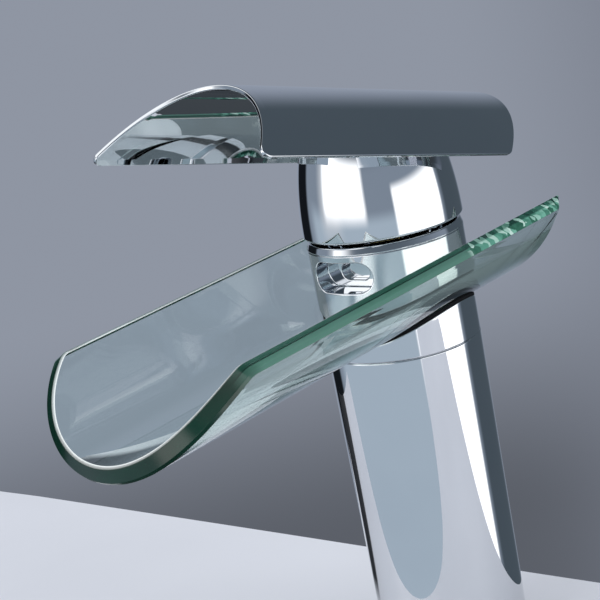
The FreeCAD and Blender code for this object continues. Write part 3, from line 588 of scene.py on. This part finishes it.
def stadium(direction, half, radius):
    """Where a ray from the centre meets a stadium: half circles of radius at -half and half."""
    x, z = direction[:, 0], direction[:, 1]
    flat = radius / np.maximum(np.abs(z), 1e-9)
    b = -np.abs(x) * half
    round_end = -b + np.sqrt(np.maximum(b * b - (half * half - radius * radius), 0.0))
    return direction * np.where(np.abs(flat * x) <= half, flat, round_end)[:, None]


def head():
    """Outlet head: a ring with a saddle foot, a spigot on top and a stadium recess in its front.

    In front the wall is a fan of rows between the recess's mouth and the edge of a patch of the
    wall, blended evenly on the developed cylinder; elsewhere it is a plain grid.
    """
    foot = saddle_face(GLASS_RADIUS - GLASS_WALL - GASKET, 1.0)
    edge, tall, half_patch = 0.3, 20, 40  # mm, rows, degrees
    spigot, spigot_top, seat, seat_z, throat, throat_low = 18.4, 130.0, 16.0, 127.5, 12.5, 112.0
    top = turned([
        (HEAD_RADIUS, TRIM_LOW - 1.0, 0.1), (HEAD_RADIUS, TRIM_LOW, edge), (spigot, TRIM_LOW, 0.1),
        (spigot, spigot_top, 0.3), (seat, spigot_top, 0.15), (seat, seat_z, 0.1),
        (throat, seat_z, 0.1), (throat, throat_low, 0.1), (NECK_BORE, throat_low, 0.1),
        (NECK_BORE, throat_low - 1.0, 0.1)], closed=False)
    low = stacked(ring_corner(NECK_BORE, foot, -1.0, -1.0, edge, True)
                  + face_rows(NECK_BORE + edge, HEAD_RADIUS - edge, foot, 8)
                  + ring_corner(HEAD_RADIUS, foot, -1.0, 1.0, edge, False))
    start, end = low[0][-1], top[0][0]
    wall = start + (end - start) * np.linspace(0.0, 1.0, tall + 1)[:, None, None]
    out = np.repeat(RADIAL[None], tall + 1, 0)
    reach, front = int(AROUND * half_patch / 360), int(AROUND * 0.75)
    index = np.arange((tall + 1) * AROUND).reshape(tall + 1, AROUND)
    keep = (np.arange(AROUND) < front - reach) | (np.arange(AROUND) >= front + reach)
    right = np.roll(index, -1, 1)
    plain = np.stack([index[:-1], right[:-1], right[1:], index[1:]], -1)[:, keep].reshape(-1, 4)
    # the bore runs from the last row of the top to the first row of the foot
    bore = np.stack([top[0][-1], low[0][0]]), np.stack([top[1][-1], low[1][0]])
    parts = [strips(*top), strips(*low), (wall.reshape(-1, 3), out.reshape(-1, 3), [plain]),
             strips(*bore)]

    # edge of the patch, walked once round, on the developed wall: w to the right, z up
    patch = wall[:, front - reach:front + reach + 1]
    walk = np.concatenate([patch[0, :-1], patch[:-1, -1], patch[-1, :0:-1], patch[:0:-1, 0]])
    w = HEAD_RADIUS * np.arctan2(walk[:, 0], -walk[:, 1])
    rim = np.stack([w, walk[:, 2] - OUTLET_Z], -1)
    lip = 0.5
    mouth = stadium(unit(rim), OUTLET_HALF, OUTLET_ROUND + lip)
    mouth_w = HEAD_RADIUS * np.arcsin(mouth[:, 0] / HEAD_RADIUS)
    mouth_rim = np.stack([mouth_w, mouth[:, 1]], -1)
    fan = rim + (mouth_rim - rim) * np.linspace(0.0, 1.0, 15)[:, None, None]
    angle = fan[..., 0] / HEAD_RADIUS
    fan_rows = np.stack([HEAD_RADIUS * np.sin(angle), -HEAD_RADIUS * np.cos(angle),
                         OUTLET_Z + fan[..., 1]], -1)
    fan_ways = np.stack([np.sin(angle), -np.cos(angle), 0 * angle], -1)

    def opening(half, radius):
        """Stadium of that size in x and z, and the normals of a wall that runs back from it."""
        ring = stadium(unit(mouth), half, radius)
        inward = -unit(ring - np.clip(ring, [-half, 0.0], [half, 0.0]))
        return ring, np.stack([inward[:, 0], 0 * inward[:, 0], inward[:, 1]], -1)

    def placed(ring, y):
        return np.stack([ring[:, 0], y + 0 * ring[:, 0], OUTLET_Z + ring[:, 1]], -1)

    def inside(half, radius, y, tilt):
        """Row of the recess at y, its normal tilted from the wall's to the floor's."""
        ring, flat = opening(half, radius)
        forward = np.array([0.0, -1.0, 0.0])
        return placed(ring, y), unit(math.cos(tilt) * flat + math.sin(tilt) * forward)

    rows = []
    for a in np.linspace(0.0, QUARTER, 6)[1:]:
        ring, flat = opening(OUTLET_HALF, OUTLET_ROUND + lip * (1.0 - math.sin(a)))
        skin = -np.sqrt(HEAD_RADIUS ** 2 - ring[:, 0] ** 2)
        radial = np.stack([ring[:, 0], skin, 0 * skin], -1) / HEAD_RADIUS
        rows.append((placed(ring, skin + lip * (1.0 - math.cos(a))),
                     unit(math.cos(a) * radial + math.sin(a) * flat)))
    floor_y, window_y, soft, window_half, window_round = -15.0, -13.0, 0.4, 2.6, 2.4
    for a in np.linspace(0.0, QUARTER, 4):
        rows.append(inside(OUTLET_HALF, OUTLET_ROUND - soft * (1.0 - math.cos(a)),
                           floor_y - soft * (1.0 - math.sin(a)), a))
    for a in np.linspace(QUARTER, 0.0, 4):
        rows.append(inside(window_half, window_round + soft * (1.0 - math.cos(a)),
                           floor_y + soft * (1.0 - math.sin(a)), a))
    rows += [inside(window_half, window_round, window_y, 0.0),
             inside(window_half, window_round - 0.1, window_y, QUARTER)]
    row_points, row_ways = stacked(rows)
    recess = strips(np.concatenate([fan_rows, row_points]), np.concatenate([fan_ways, row_ways]),
                    last_pole=((0.0, window_y, OUTLET_Z), (0.0, -1.0, 0.0)))
    piece("head", "outlet_head", welded(parts + [recess]))


def trim():
    rows = turned([
        (TRIM_BORE, TRIM_LOW, 0.1), (HEAD_RADIUS, TRIM_LOW, 0.25),
        (HEAD_RADIUS, TRIM_LOW + 0.35, 0.2), (21.9, TRIM_TOP - 0.4, 0.8), (20.3, TRIM_TOP, 0.15),
        (TRIM_BORE, TRIM_TOP, 0.1)])
    piece("bevel_ring", "trim_ring", strips(*rows, closed=True))


def glass():
    """Bent glass, its edge a flat land between two arrises, with a round hole for the neck."""
    ease = 0.4  # chamfer of the hole

    def front(w):
        return GLASS_TIP - GLASS_FRONT_ARC + np.sqrt(GLASS_FRONT_ARC ** 2 - w ** 2)

    def rear(w):
        return GLASS_REAR + 0.0 * w

    def hole_row(rim, depth):
        """Where the upright hole meets the plate at that depth, on the developed outside."""
        angle = np.arctan2(rim[:, 0], -rim[:, 1])
        x, y = (GLASS_HOLE + ease) * np.sin(angle), (GLASS_HOLE + ease) * np.cos(angle)
        z = saddle(x, y, GLASS_RADIUS - depth)
        phi = np.arcsin(x / (GLASS_RADIUS - depth))
        s = y * GLASS.along[1] + (z - GLASS_LOW) * GLASS.along[2]
        return np.stack([phi * GLASS_RADIUS, s], -1)

    corner, inset = 0.2, 2.0
    edge = [(inset, 0.0, 0.1), (ARRIS, 0.0, corner), (0.0, ARRIS, corner),
            (0.0, GLASS_WALL - ARRIS, corner), (ARRIS, GLASS_WALL, corner),
            (inset, GLASS_WALL, 0.1)]
    rim_part, outside, inside = bent_plate(GLASS, front, rear, GLASS_CORNERS, edge, hole_row,
                                           GLASS_REAR_LEAN)
    outer_ring, inner_ring = outside[0][-1], inside[0][-1]
    away = unit(outer_ring * np.array([1.0, 1.0, 0.0]))
    hole = stacked([(outer_ring, outside[1][-1]), (outer_ring - ease * away + ease * UP, -away),
                    (inner_ring - ease * away - ease * UP, -away), (inner_ring, inside[1][-1])])
    part = welded([rim_part, strips(*outside), strips(*inside), strips(*hole)])

    points = part[0]
    from_axis = points - (GLASS.origin + GLASS.radius * GLASS.up)
    s = from_axis @ GLASS.along
    depth = GLASS_RADIUS - np.linalg.norm(from_axis - s[:, None] * GLASS.along, axis=1)
    w = GLASS_RADIUS * np.arcsin(points[:, 0] / (GLASS_RADIUS - depth))
    edges = np.hypot(points[:, 0], points[:, 1]) > GLASS_HOLE + 1.0
    near_end, near_side, skin, land = 2.0, 2.5, 0.02, 0.8 * ARRIS
    rear_end = (s < GLASS_REAR + near_end) & (
        np.abs(w) < GLASS_RADIUS * GLASS_HALF - near_side)
    dressed = edges & (depth > np.where(rear_end, land, skin)) & (depth < GLASS_WALL - land)
    # the arris points get the material's painted highlight
    arris = edges & (depth < GLASS_WALL - skin) & (depth > skin) & (
        (depth > GLASS_WALL - land) | rear_end & (depth < land))
    piece("trough", "glass_spout", part, "tempered_glass", marks={
        "depth": depth, "cut": dressed & ~rear_end, "rear": dressed & rear_end, "arris": arris})


# ---------- handle
def lever():
    """Roof-tile lever: bent plate, hollow side down, both ends cut on a slant."""
    def drop(w):
        """1 on the crown, 0 at the long edges."""
        return 1.0 - LEVER.height(w / LEVER_RADIUS) / LEVER_RISE

    def front(w):
        return LEVER_FRONT - LEVER_SETBACK * drop(w)

    def rear(w):
        return LEVER_REAR - LEVER_OVERHANG * drop(w)

    def middle(rim, depth):
        """Tiny copy of the rim, which a fan closes."""
        return 0.004 * rim + np.array([0.0, middle_s])

    edge = [(2.0, 0.0, 0.1), (0.0, 0.0, 0.4), (0.0, LEVER_WALL, 0.4), (2.0, LEVER_WALL, 0.1)]
    middle_s = 0.5 * (LEVER_FRONT + LEVER_REAR) - 10.0
    rim_part, outside, inside = bent_plate(LEVER, front, rear, LEVER_CORNERS, edge, middle)
    crown, where = np.array(0.0), np.array(middle_s)
    top = LEVER.at(crown, where), LEVER.outward(crown)
    below = LEVER.at(crown, where, LEVER_WALL), -LEVER.outward(crown)
    piece("lever", "lever_plate", welded([
        rim_part, strips(*outside, last_pole=top), strips(*inside, last_pole=below)]),
        body="handle")


def dome_radius(h, radius, rise):
    """Half-ellipsoid's radius at height h above its rim."""
    return radius * np.sqrt(np.maximum(1.0 - (h / rise) ** 2, 0.0))


def dome_way(r, h, radius, rise):
    """Its outward normal: (r / radius^2 towards the side, h / rise^2 upwards)."""
    up = np.broadcast_to(np.asarray(h / rise ** 2)[..., None], RADIAL.shape)
    return unit(np.asarray(r / radius ** 2)[..., None] * RADIAL + up * UP)


def dome():
    """Handle's cap: half an ellipsoid cut off by the lever's inside, hollow, with a boss.

    The boss has the socket for the stem, whose section is |x|^14 + |y|^14 = socket^14.
    """
    under = LEVER_RADIUS - LEVER_WALL - 0.05
    flank = LEVER_RISE - LEVER_RADIUS

    def top_height(x, y):
        """Height of the lever's inside over a point, above the rim."""
        inside = flank + np.sqrt(under ** 2 - x ** 2)
        return LEVER_EDGE_Z + (inside - y * LEVER_UP[1]) / LEVER_UP[2] - RIM_Z

    low, high = np.full(AROUND, 10.0), np.full(AROUND, DOME_RISE - 0.5)
    for _ in range(HALVINGS):
        h = (low + high) / 2.0
        r = dome_radius(h, DOME_RADIUS, DOME_RISE)
        fits = h < top_height(r * RADIAL[:, 0], r * RADIAL[:, 1])
        low, high = np.where(fits, h, low), np.where(fits, high, h)
    rows = []

    def add(r, h, way):
        level = np.stack([0 * TURN, 0 * TURN, RIM_Z + np.broadcast_to(h, (AROUND,))], -1)
        rows.append((np.broadcast_to(r, (AROUND,))[:, None] * RADIAL + level,
                     unit(np.broadcast_to(way, (AROUND, 3)))))

    for share in np.linspace(0.06, 0.985, 14):
        r = dome_radius(low, DOME_RADIUS, DOME_RISE) * share
        x, y = r * RADIAL[:, 0], r * RADIAL[:, 1]
        lift = np.sqrt(under ** 2 - x ** 2) / under
        add(r, top_height(x, y),
            (x / under)[:, None] * ACROSS + lift[:, None] * LEVER_UP)
    lip, inner, inner_lip = 0.75, DOME_RADIUS - DOME_WALL, 0.3
    for share in 1.0 - np.linspace(0.004, 1.0, 40) ** 1.2:
        h = lip + (low - lip) * share
        r = dome_radius(h, DOME_RADIUS, DOME_RISE)
        add(r, h, dome_way(r, h, DOME_RADIUS, DOME_RISE))
    for a in np.linspace(0.0, QUARTER, 8)[1:]:
        add(DOME_RADIUS - lip * (1.0 - math.cos(a)), lip * (1.0 - math.sin(a)),
            math.cos(a) * RADIAL + math.sin(a) * DOWN)
    for a in np.linspace(QUARTER, 0.0, 4)[:-1]:
        add(inner + inner_lip * (1.0 - math.cos(a)), inner_lip * (1.0 - math.sin(a)),
            -math.cos(a) * RADIAL + math.sin(a) * DOWN)
    boss, boss_low, boss_edge, socket, socket_top = 7.5, 4.0, 0.4, 3.3, 17.6
    h_boss = DOME_HOLLOW * math.sqrt(1.0 - (boss + 1.0) ** 2 / inner ** 2)
    for h in h_boss * np.sin(np.linspace(0.01, 1.0, 20) * np.pi / 2.0):
        r = dome_radius(h, inner, DOME_HOLLOW)
        add(r, h, -dome_way(r, h, inner, DOME_HOLLOW))
    add(boss, h_boss - 1.0, RADIAL)
    for a in np.linspace(0.0, QUARTER, 4):
        add(boss - boss_edge * (1.0 - math.cos(a)), boss_low + boss_edge * (1.0 - math.sin(a)),
            math.cos(a) * RADIAL + math.sin(a) * DOWN)
    square = socket * (np.abs(RADIAL[:, 0]) ** 14 + np.abs(RADIAL[:, 1]) ** 14) ** (-1.0 / 14.0)
    add(square + 0.3, boss_low, DOWN)
    add(square, boss_low + 0.3, -RADIAL)
    add(square, socket_top - 0.2, -RADIAL)
    add(square - 0.2, socket_top, DOWN)
    top = (0.0, 0.0, RIM_Z + float(top_height(np.zeros(1), np.zeros(1))[0])), LEVER_UP
    part = strips(*stacked(rows), first_pole=top, last_pole=((0.0, 0.0, RIM_Z + socket_top), DOWN))
    piece("dome", "handle_dome", part, body="handle")


def plug():
    """Round plug in the rear of the dome: a button that follows the ellipsoid, proud by a hair."""
    centre_z, proud, sunk, radius, edge = 143.0, 0.12, -1.2, 3.0, 0.25

    def at(r, lift):
        x, z = r * np.cos(TURN), centre_z + r * np.sin(TURN)
        h = z - RIM_Z
        y = np.sqrt(np.maximum(dome_radius(h, DOME_RADIUS, DOME_RISE) ** 2 - x ** 2, 0.0))
        way = unit(np.stack([x / DOME_RADIUS ** 2, y / DOME_RADIUS ** 2, h / DOME_RISE ** 2], -1))
        return np.stack([x, y, z], -1) + lift * way, way

    side = np.stack([np.cos(TURN), 0 * TURN, np.sin(TURN)], -1)
    rows = [at(r, proud) for r in (0.3, 1.2, 2.0, 2.5)]
    for a in np.linspace(QUARTER, 0.0, 5):
        p, way = at(radius - edge * (1.0 - math.cos(a)), proud - edge * (1.0 - math.sin(a)))
        rows.append((p, unit(math.cos(a) * side + math.sin(a) * way)))
    back, way = at(radius, sunk)
    rows += [(back, unit(side - way)), (at(radius / 2.0, sunk)[0], -way)]
    h = centre_z - RIM_Z
    y = float(dome_radius(np.array(h), DOME_RADIUS, DOME_RISE))
    way = unit(np.array([0.0, y / DOME_RADIUS ** 2, h / DOME_RISE ** 2]))
    centre = np.array([0.0, y, centre_z])
    part = strips(*stacked(rows), first_pole=(centre + proud * way, way),
                  last_pole=(centre + sunk * way, -way))
    piece("plug", "index_plug", part, "grey_plastic", "handle")


# ---------- fixing under the deck
def stud():
    """Threaded stud: radius = crest - depth * triangle(z / pitch - turn), faded out at the ends."""
    crest, depth, pitch, low, high, fade = 4.0, 0.62, 1.25, -55.0, 10.0, 0.7
    turn = np.linspace(0.0, 2.0 * np.pi, 48, endpoint=False)
    z = np.linspace(low, high, 520)[:, None]
    wave = np.abs(((z - low) / pitch - turn / (2.0 * np.pi)) % 1.0 * 2.0 - 1.0)  # 0 to 1
    near = np.minimum(z - low, high - z)
    r = crest - depth * np.clip(wave * 1.25 - 0.1, 0.0, 1.0) - np.clip(fade - near, 0.0, fade)
    points = np.stack([r * np.cos(turn), r * np.sin(turn) + STUD_Y, z + 0 * r], -1)
    dz = np.gradient(r, z[:, 0], axis=0)
    dt = (np.roll(r, -1, 1) - np.roll(r, 1, 1)) / (2 * (turn[1] - turn[0]))
    radial = np.stack([np.cos(turn), np.sin(turn), 0 * turn], -1)
    round_way = np.stack([-np.sin(turn), np.cos(turn), 0 * turn], -1)
    ways = unit(radial - (dt / r)[..., None] * round_way - dz[..., None] * UP)
    part = strips(points, ways, first_pole=((0.0, STUD_Y, low), DOWN),
                  last_pole=((0.0, STUD_Y, high), UP))
    piece("stud", "fixing_stud", part, "zinc_steel")


def nut():
    """Hexagon nut: radius = flat / cos(turn from a side's middle), cut by 30 degree cones."""
    flat, low, high, bore = 6.5, -34.0, -26.0, 4.05
    turn = np.linspace(0.0, 2.0 * np.pi, 144, endpoint=False)
    off = (turn + np.pi / 6.0) % (np.pi / 3.0) - np.pi / 6.0
    hexagon = flat / np.cos(off)
    radial = np.stack([np.cos(turn), np.sin(turn), 0 * turn], -1)
    middle = turn - off
    flat_way = np.stack([np.cos(middle), np.sin(middle), 0 * turn], -1)
    face = flat * 0.96  # where the cone starts
    chamfer = np.maximum(hexagon - face, 0.0) * math.tan(math.radians(30.0))
    rows = []

    def add(r, z, way):
        level = np.stack([0 * turn, STUD_Y + 0 * turn, z + 0 * turn], -1)
        rows.append((np.broadcast_to(r, turn.shape)[:, None] * radial + level,
                     unit(np.broadcast_to(way, radial.shape))))

    for z0, sense in ((low, -1.0), (high, 1.0)):
        ring = [(bore + 0.5, z0, sense * UP), (face - 0.1, z0, sense * UP),
                (hexagon, z0 - sense * (chamfer + 0.05), sense * UP * 0.8 + radial * 0.5),
                (hexagon, z0 - sense * (chamfer + 0.25), flat_way)]
        for r, z, way in (ring if sense < 0 else ring[::-1]):
            add(r, z, way)
    add(bore, high - 0.5, -radial)
    add(bore, low + 0.5, -radial)
    piece("nut", "stud_nut", strips(*stacked(rows), closed=True), "bare_brass")


# ---------- stage
def deck():
    """Pale deck that the faucet stands on, as wide as a basin, with its tap hole and a bay.

    Rows run from the hole over the top, round a softened edge, and back below. The reach in each
    direction is the least of the straight back and sides and of the bay, y^2 = near^2 + (0.5 x)^2.
    """
    far, near, left, right, hole, endless = 52.0, 78.0, 290.0, 420.0, 17.5, 1e4
    x, y = RADIAL[:, 0], RADIAL[:, 1]
    to_side = np.where(x < 0, left, right) / np.maximum(np.abs(x), 1e-9)
    opening = y ** 2 - (0.5 * x) ** 2
    to_bay = np.where(opening > 0, near / np.sqrt(np.maximum(opening, 1e-6)), endless)
    reach = np.minimum(to_side, np.where(y > 0, far / np.maximum(y, 1e-9), to_bay))
    rings = [(hole, -DECK_THICKNESS), (hole, 0.0), (reach - 2.0, 0.0), (reach - 0.6, -0.6),
             (reach, -2.0), (reach, -DECK_THICKNESS + 1.0), (reach - 1.0, -DECK_THICKNESS)]
    rows = np.stack([np.stack([r * x, r * y, z + 0 * TURN], -1) for r, z in rings])
    points, _, (faces,) = strips(rows, rows, closed=True)
    mesh = bpy.data.meshes.new("deck")
    mesh.from_pydata((points * MM).tolist(), [], faces.tolist())
    made = added("deck", mesh)

    material, tree, surface, _, place = shader("glazed_deck", Roughness=0.35, Coat_Weight=0.3,
                                               Coat_Roughness=0.08)
    pale = ramp(tree, noise(tree, place, 9.0), [
        (0.3, (0.72, 0.74, 0.79)), (0.7, (0.76, 0.78, 0.83))])
    # painted reflection: a dark wedge at the far left of the deck, seen only by mirrors, stands in
    # for a dark thing there that the chrome reflects
    where = node(tree, "ShaderNodeSeparateXYZ", {0: place}).outputs
    front_slant = maths(tree, "MULTIPLY_ADD", where["X"], -0.14, where["Y"])
    back_slant = maths(tree, "MULTIPLY_ADD", where["X"], 0.24, where["Y"])
    wedge = maths(tree, "MULTIPLY", between(tree, front_slant, -0.003, 0.003),
                  between(tree, back_slant, 0.003, -0.003))
    painted_reflection_wedge = maths(tree, "MULTIPLY", between(tree, where["X"], -0.05, -0.075), wedge)
    mirrors = node(tree, "ShaderNodeLightPath").outputs["Is Glossy Ray"]
    # mirrors see the painted dark reflection; the camera sees the plain pale deck
    feed(tree, surface, Base_Color=mixed(tree, maths(tree, "MULTIPLY", painted_reflection_wedge, mirrors),
                                         pale, (0.02, 0.022, 0.026)))
    made.data.materials.append(material)


def soft_band(tree, value, low, high, soft):
    """1 between low and high, falling smoothly to 0 over soft about each end."""
    def edge(a, b):
        return node(tree, "ShaderNodeMapRange", {"Value": value, "From Min": a, "From Max": b},
                    interpolation_type="SMOOTHSTEP").outputs["Result"]

    return maths(tree, "MULTIPLY", edge(low - soft / 2, low + soft / 2),
                 edge(high + soft / 2, high - soft / 2))


def studio():
    """Room round the object by direction: what mirrors see, what lies behind it, a level light.

    turn is the direction's angle in degrees from -Y towards +X, rise its angle above level.
    """
    world = bpy.data.worlds.new("studio")
    bpy.context.scene.world = world
    world.use_nodes = True
    tree = world.node_tree
    tree.nodes.clear()
    generated = node(tree, "ShaderNodeTexCoord").outputs["Generated"]
    way = node(tree, "ShaderNodeSeparateXYZ", {0: generated}).outputs
    to_degrees = 180.0 / math.pi
    forward = maths(tree, "MULTIPLY", way["Y"], -1.0)
    turn = maths(tree, "MULTIPLY", maths(tree, "ARCTAN2", way["X"], forward), to_degrees)
    rise = maths(tree, "MULTIPLY", maths(tree, "ARCSINE", way["Z"]), to_degrees)

    def patched(base, patches):
        """Patches laid over the base: turn low, high, soft, rise low, high, soft, colour."""
        tone = node(tree, "ShaderNodeRGB").outputs[0]
        tone.default_value = (*base, 1.0)
        for t0, t1, ts, r0, r1, rs, colour in patches:
            mask = maths(tree, "MULTIPLY", soft_band(tree, turn, t0, t1, ts),
                         soft_band(tree, rise, r0, r1, rs))
            tone = mixed(tree, mask, tone, colour)
        return tone

    mirror = patched((0.075, 0.098, 0.12), [
        # left wall, room in front, its pale lower part, dark floor, black strip on the left
        (-154.0, -104.0, 26.0, -30.0, 40.0, 10.0, (0.30, 0.34, 0.42)),
        (-82.0, 142.0, 10.0, -95.0, 20.0, 16.0, (0.26, 0.31, 0.38)),
        (-70.0, 70.0, 16.0, -95.0, -4.0, 6.0, (0.46, 0.55, 0.64)),
        (-190.0, 190.0, 4.0, -95.0, -34.0, 8.0, (0.06, 0.07, 0.08)),
        (-114.0, -82.0, 6.0, -40.0, 34.0, 10.0, (0.008, 0.010, 0.013)),
        # glow beside the front softbox, that softbox, the side softbox, a light high on the left
        (-50.0, -20.0, 18.0, -8.0, 22.0, 14.0, (0.75, 0.78, 0.82)),
        (-44.0, 20.0, 8.0, -4.0, 17.0, 8.0, (1.9, 1.9, 1.9)),
        (61.0, 137.0, 5.0, -26.0, 5.5, 5.0, (1.8, 1.8, 1.8)),
        (-95.0, 0.0, 20.0, 28.0, 72.0, 12.0, (1.3, 1.33, 1.36)),
    ])
    behind = patched((0.275, 0.303, 0.365), [
        # the lower part, then the far rear, which lies on both sides of 180 degrees
        (-190.0, 190.0, 4.0, -90.0, -17.0, 9.0, (0.105, 0.115, 0.138)),
        (-230.0, -146.0, 9.0, -90.0, 90.0, 4.0, (0.20, 0.22, 0.27)),
        (144.0, 230.0, 9.0, -90.0, 90.0, 4.0, (0.20, 0.22, 0.27)),
    ])
    path = node(tree, "ShaderNodeLightPath").outputs
    in_glass = maths(tree, "GREATER_THAN", path["Transmission Depth"], 0.5)
    turned_back = maths(tree, "GREATER_THAN", path["Glossy Depth"], 0.5)
    lightened = mixed(tree, in_glass, mirror, (0.22, 0.25, 0.28), "LIGHTEN")
    plain, seen, mirrored = (
        node(tree, "ShaderNodeBackground", {"Color": colour, "Strength": strength}).outputs[0]
        for colour, strength in (((0.93, 0.95, 1.0, 1.0), 0.85), (behind, 1.0), (lightened, 1.0)))
    direct = maths(tree, "MAXIMUM", path["Is Camera Ray"], path["Is Transmission Ray"])
    reflected = maths(tree, "MAXIMUM", path["Is Glossy Ray"],
                      maths(tree, "MULTIPLY", direct, turned_back))
    first = node(tree, "ShaderNodeMixShader", {0: direct, 1: plain, 2: seen}).outputs[0]
    both = node(tree, "ShaderNodeMixShader", {0: reflected, 1: first, 2: mirrored}).outputs[0]
    node(tree, "ShaderNodeOutputWorld", {"Surface": both})


def placed_by(*columns):
    """Matrix from the three axes and the place."""
    return Matrix(np.column_stack(columns).tolist() + [[0.0, 0.0, 0.0, 1.0]])


def lamp(name, place, width, height, power):
    """Soft lamp aimed at the glass, in metres and watts.

    It lights what is dull; mirrors see the studio in its place.
    """
    data = bpy.data.lights.new(name, "AREA")
    data.shape, data.size, data.size_y, data.energy = "RECTANGLE", width, height, power
    made = added(name, data)
    z = unit(np.array(place) - np.array((0.0, -0.03, 0.10)))
    x = unit(np.cross(UP, z))
    made.matrix_world = placed_by(x, np.cross(z, x), z, place)
    made.visible_camera = made.visible_glossy = made.visible_transmission = False


def camera():
    """Camera of the fitted view: a target point seen at a given place in a 600 x 600 picture."""
    turn, rise, roll = (math.radians(a) for a in (40.92, 13.82, -10.32))
    focal, distance, target = 1786.7, 511.93, np.array([0.0, 0.0, 111.0])
    seen_at, half_picture, sensor = (394.96, 290.88), 300.0, 36.0
    back = np.array([math.sin(turn) * math.cos(rise), -math.cos(turn) * math.cos(rise),
                     math.sin(rise)])
    place = target + back * distance
    right = unit(np.cross(-back, UP))
    up = np.cross(right, -back)
    right, up = (math.cos(roll) * right + math.sin(roll) * up,
                 math.cos(roll) * up - math.sin(roll) * right)
    ahead = -back - (seen_at[0] - half_picture) / focal * right \
        + (seen_at[1] - half_picture) / focal * up
    ahead = unit(ahead)
    right = unit(right - ahead * (right @ ahead))
    up = np.cross(right, ahead)
    data = bpy.data.cameras.new("camera")
    data.sensor_width, data.lens = sensor, focal / (2.0 * half_picture) * sensor
    data.clip_start, data.clip_end = 0.01, 50.0
    made = added("camera", data)
    made.matrix_world = placed_by(right, up, -ahead, place * MM)
    bpy.context.scene.camera = made


for make in (column, saddle_rings, head, trim, glass, lever, dome, plug, stud, nut):
    make()

# CAD nodes that stay get the finish of their slot
for row in frame["record"]["subparts"]:
    kept = frame["nodes"][row["node"]]
    kept.data.materials.clear()
    kept.data.materials.append(FINISH[row["material_slot"]])

deck()
studio()
lamp("front_softbox", (-0.10, -0.90, 0.75), 0.7, 0.5, 4.2)
lamp("side_softbox", (0.95, 0.10, 0.55), 0.5, 0.7, 2.8)
camera()
bpy.context.scene.view_settings.view_transform = "Standard"
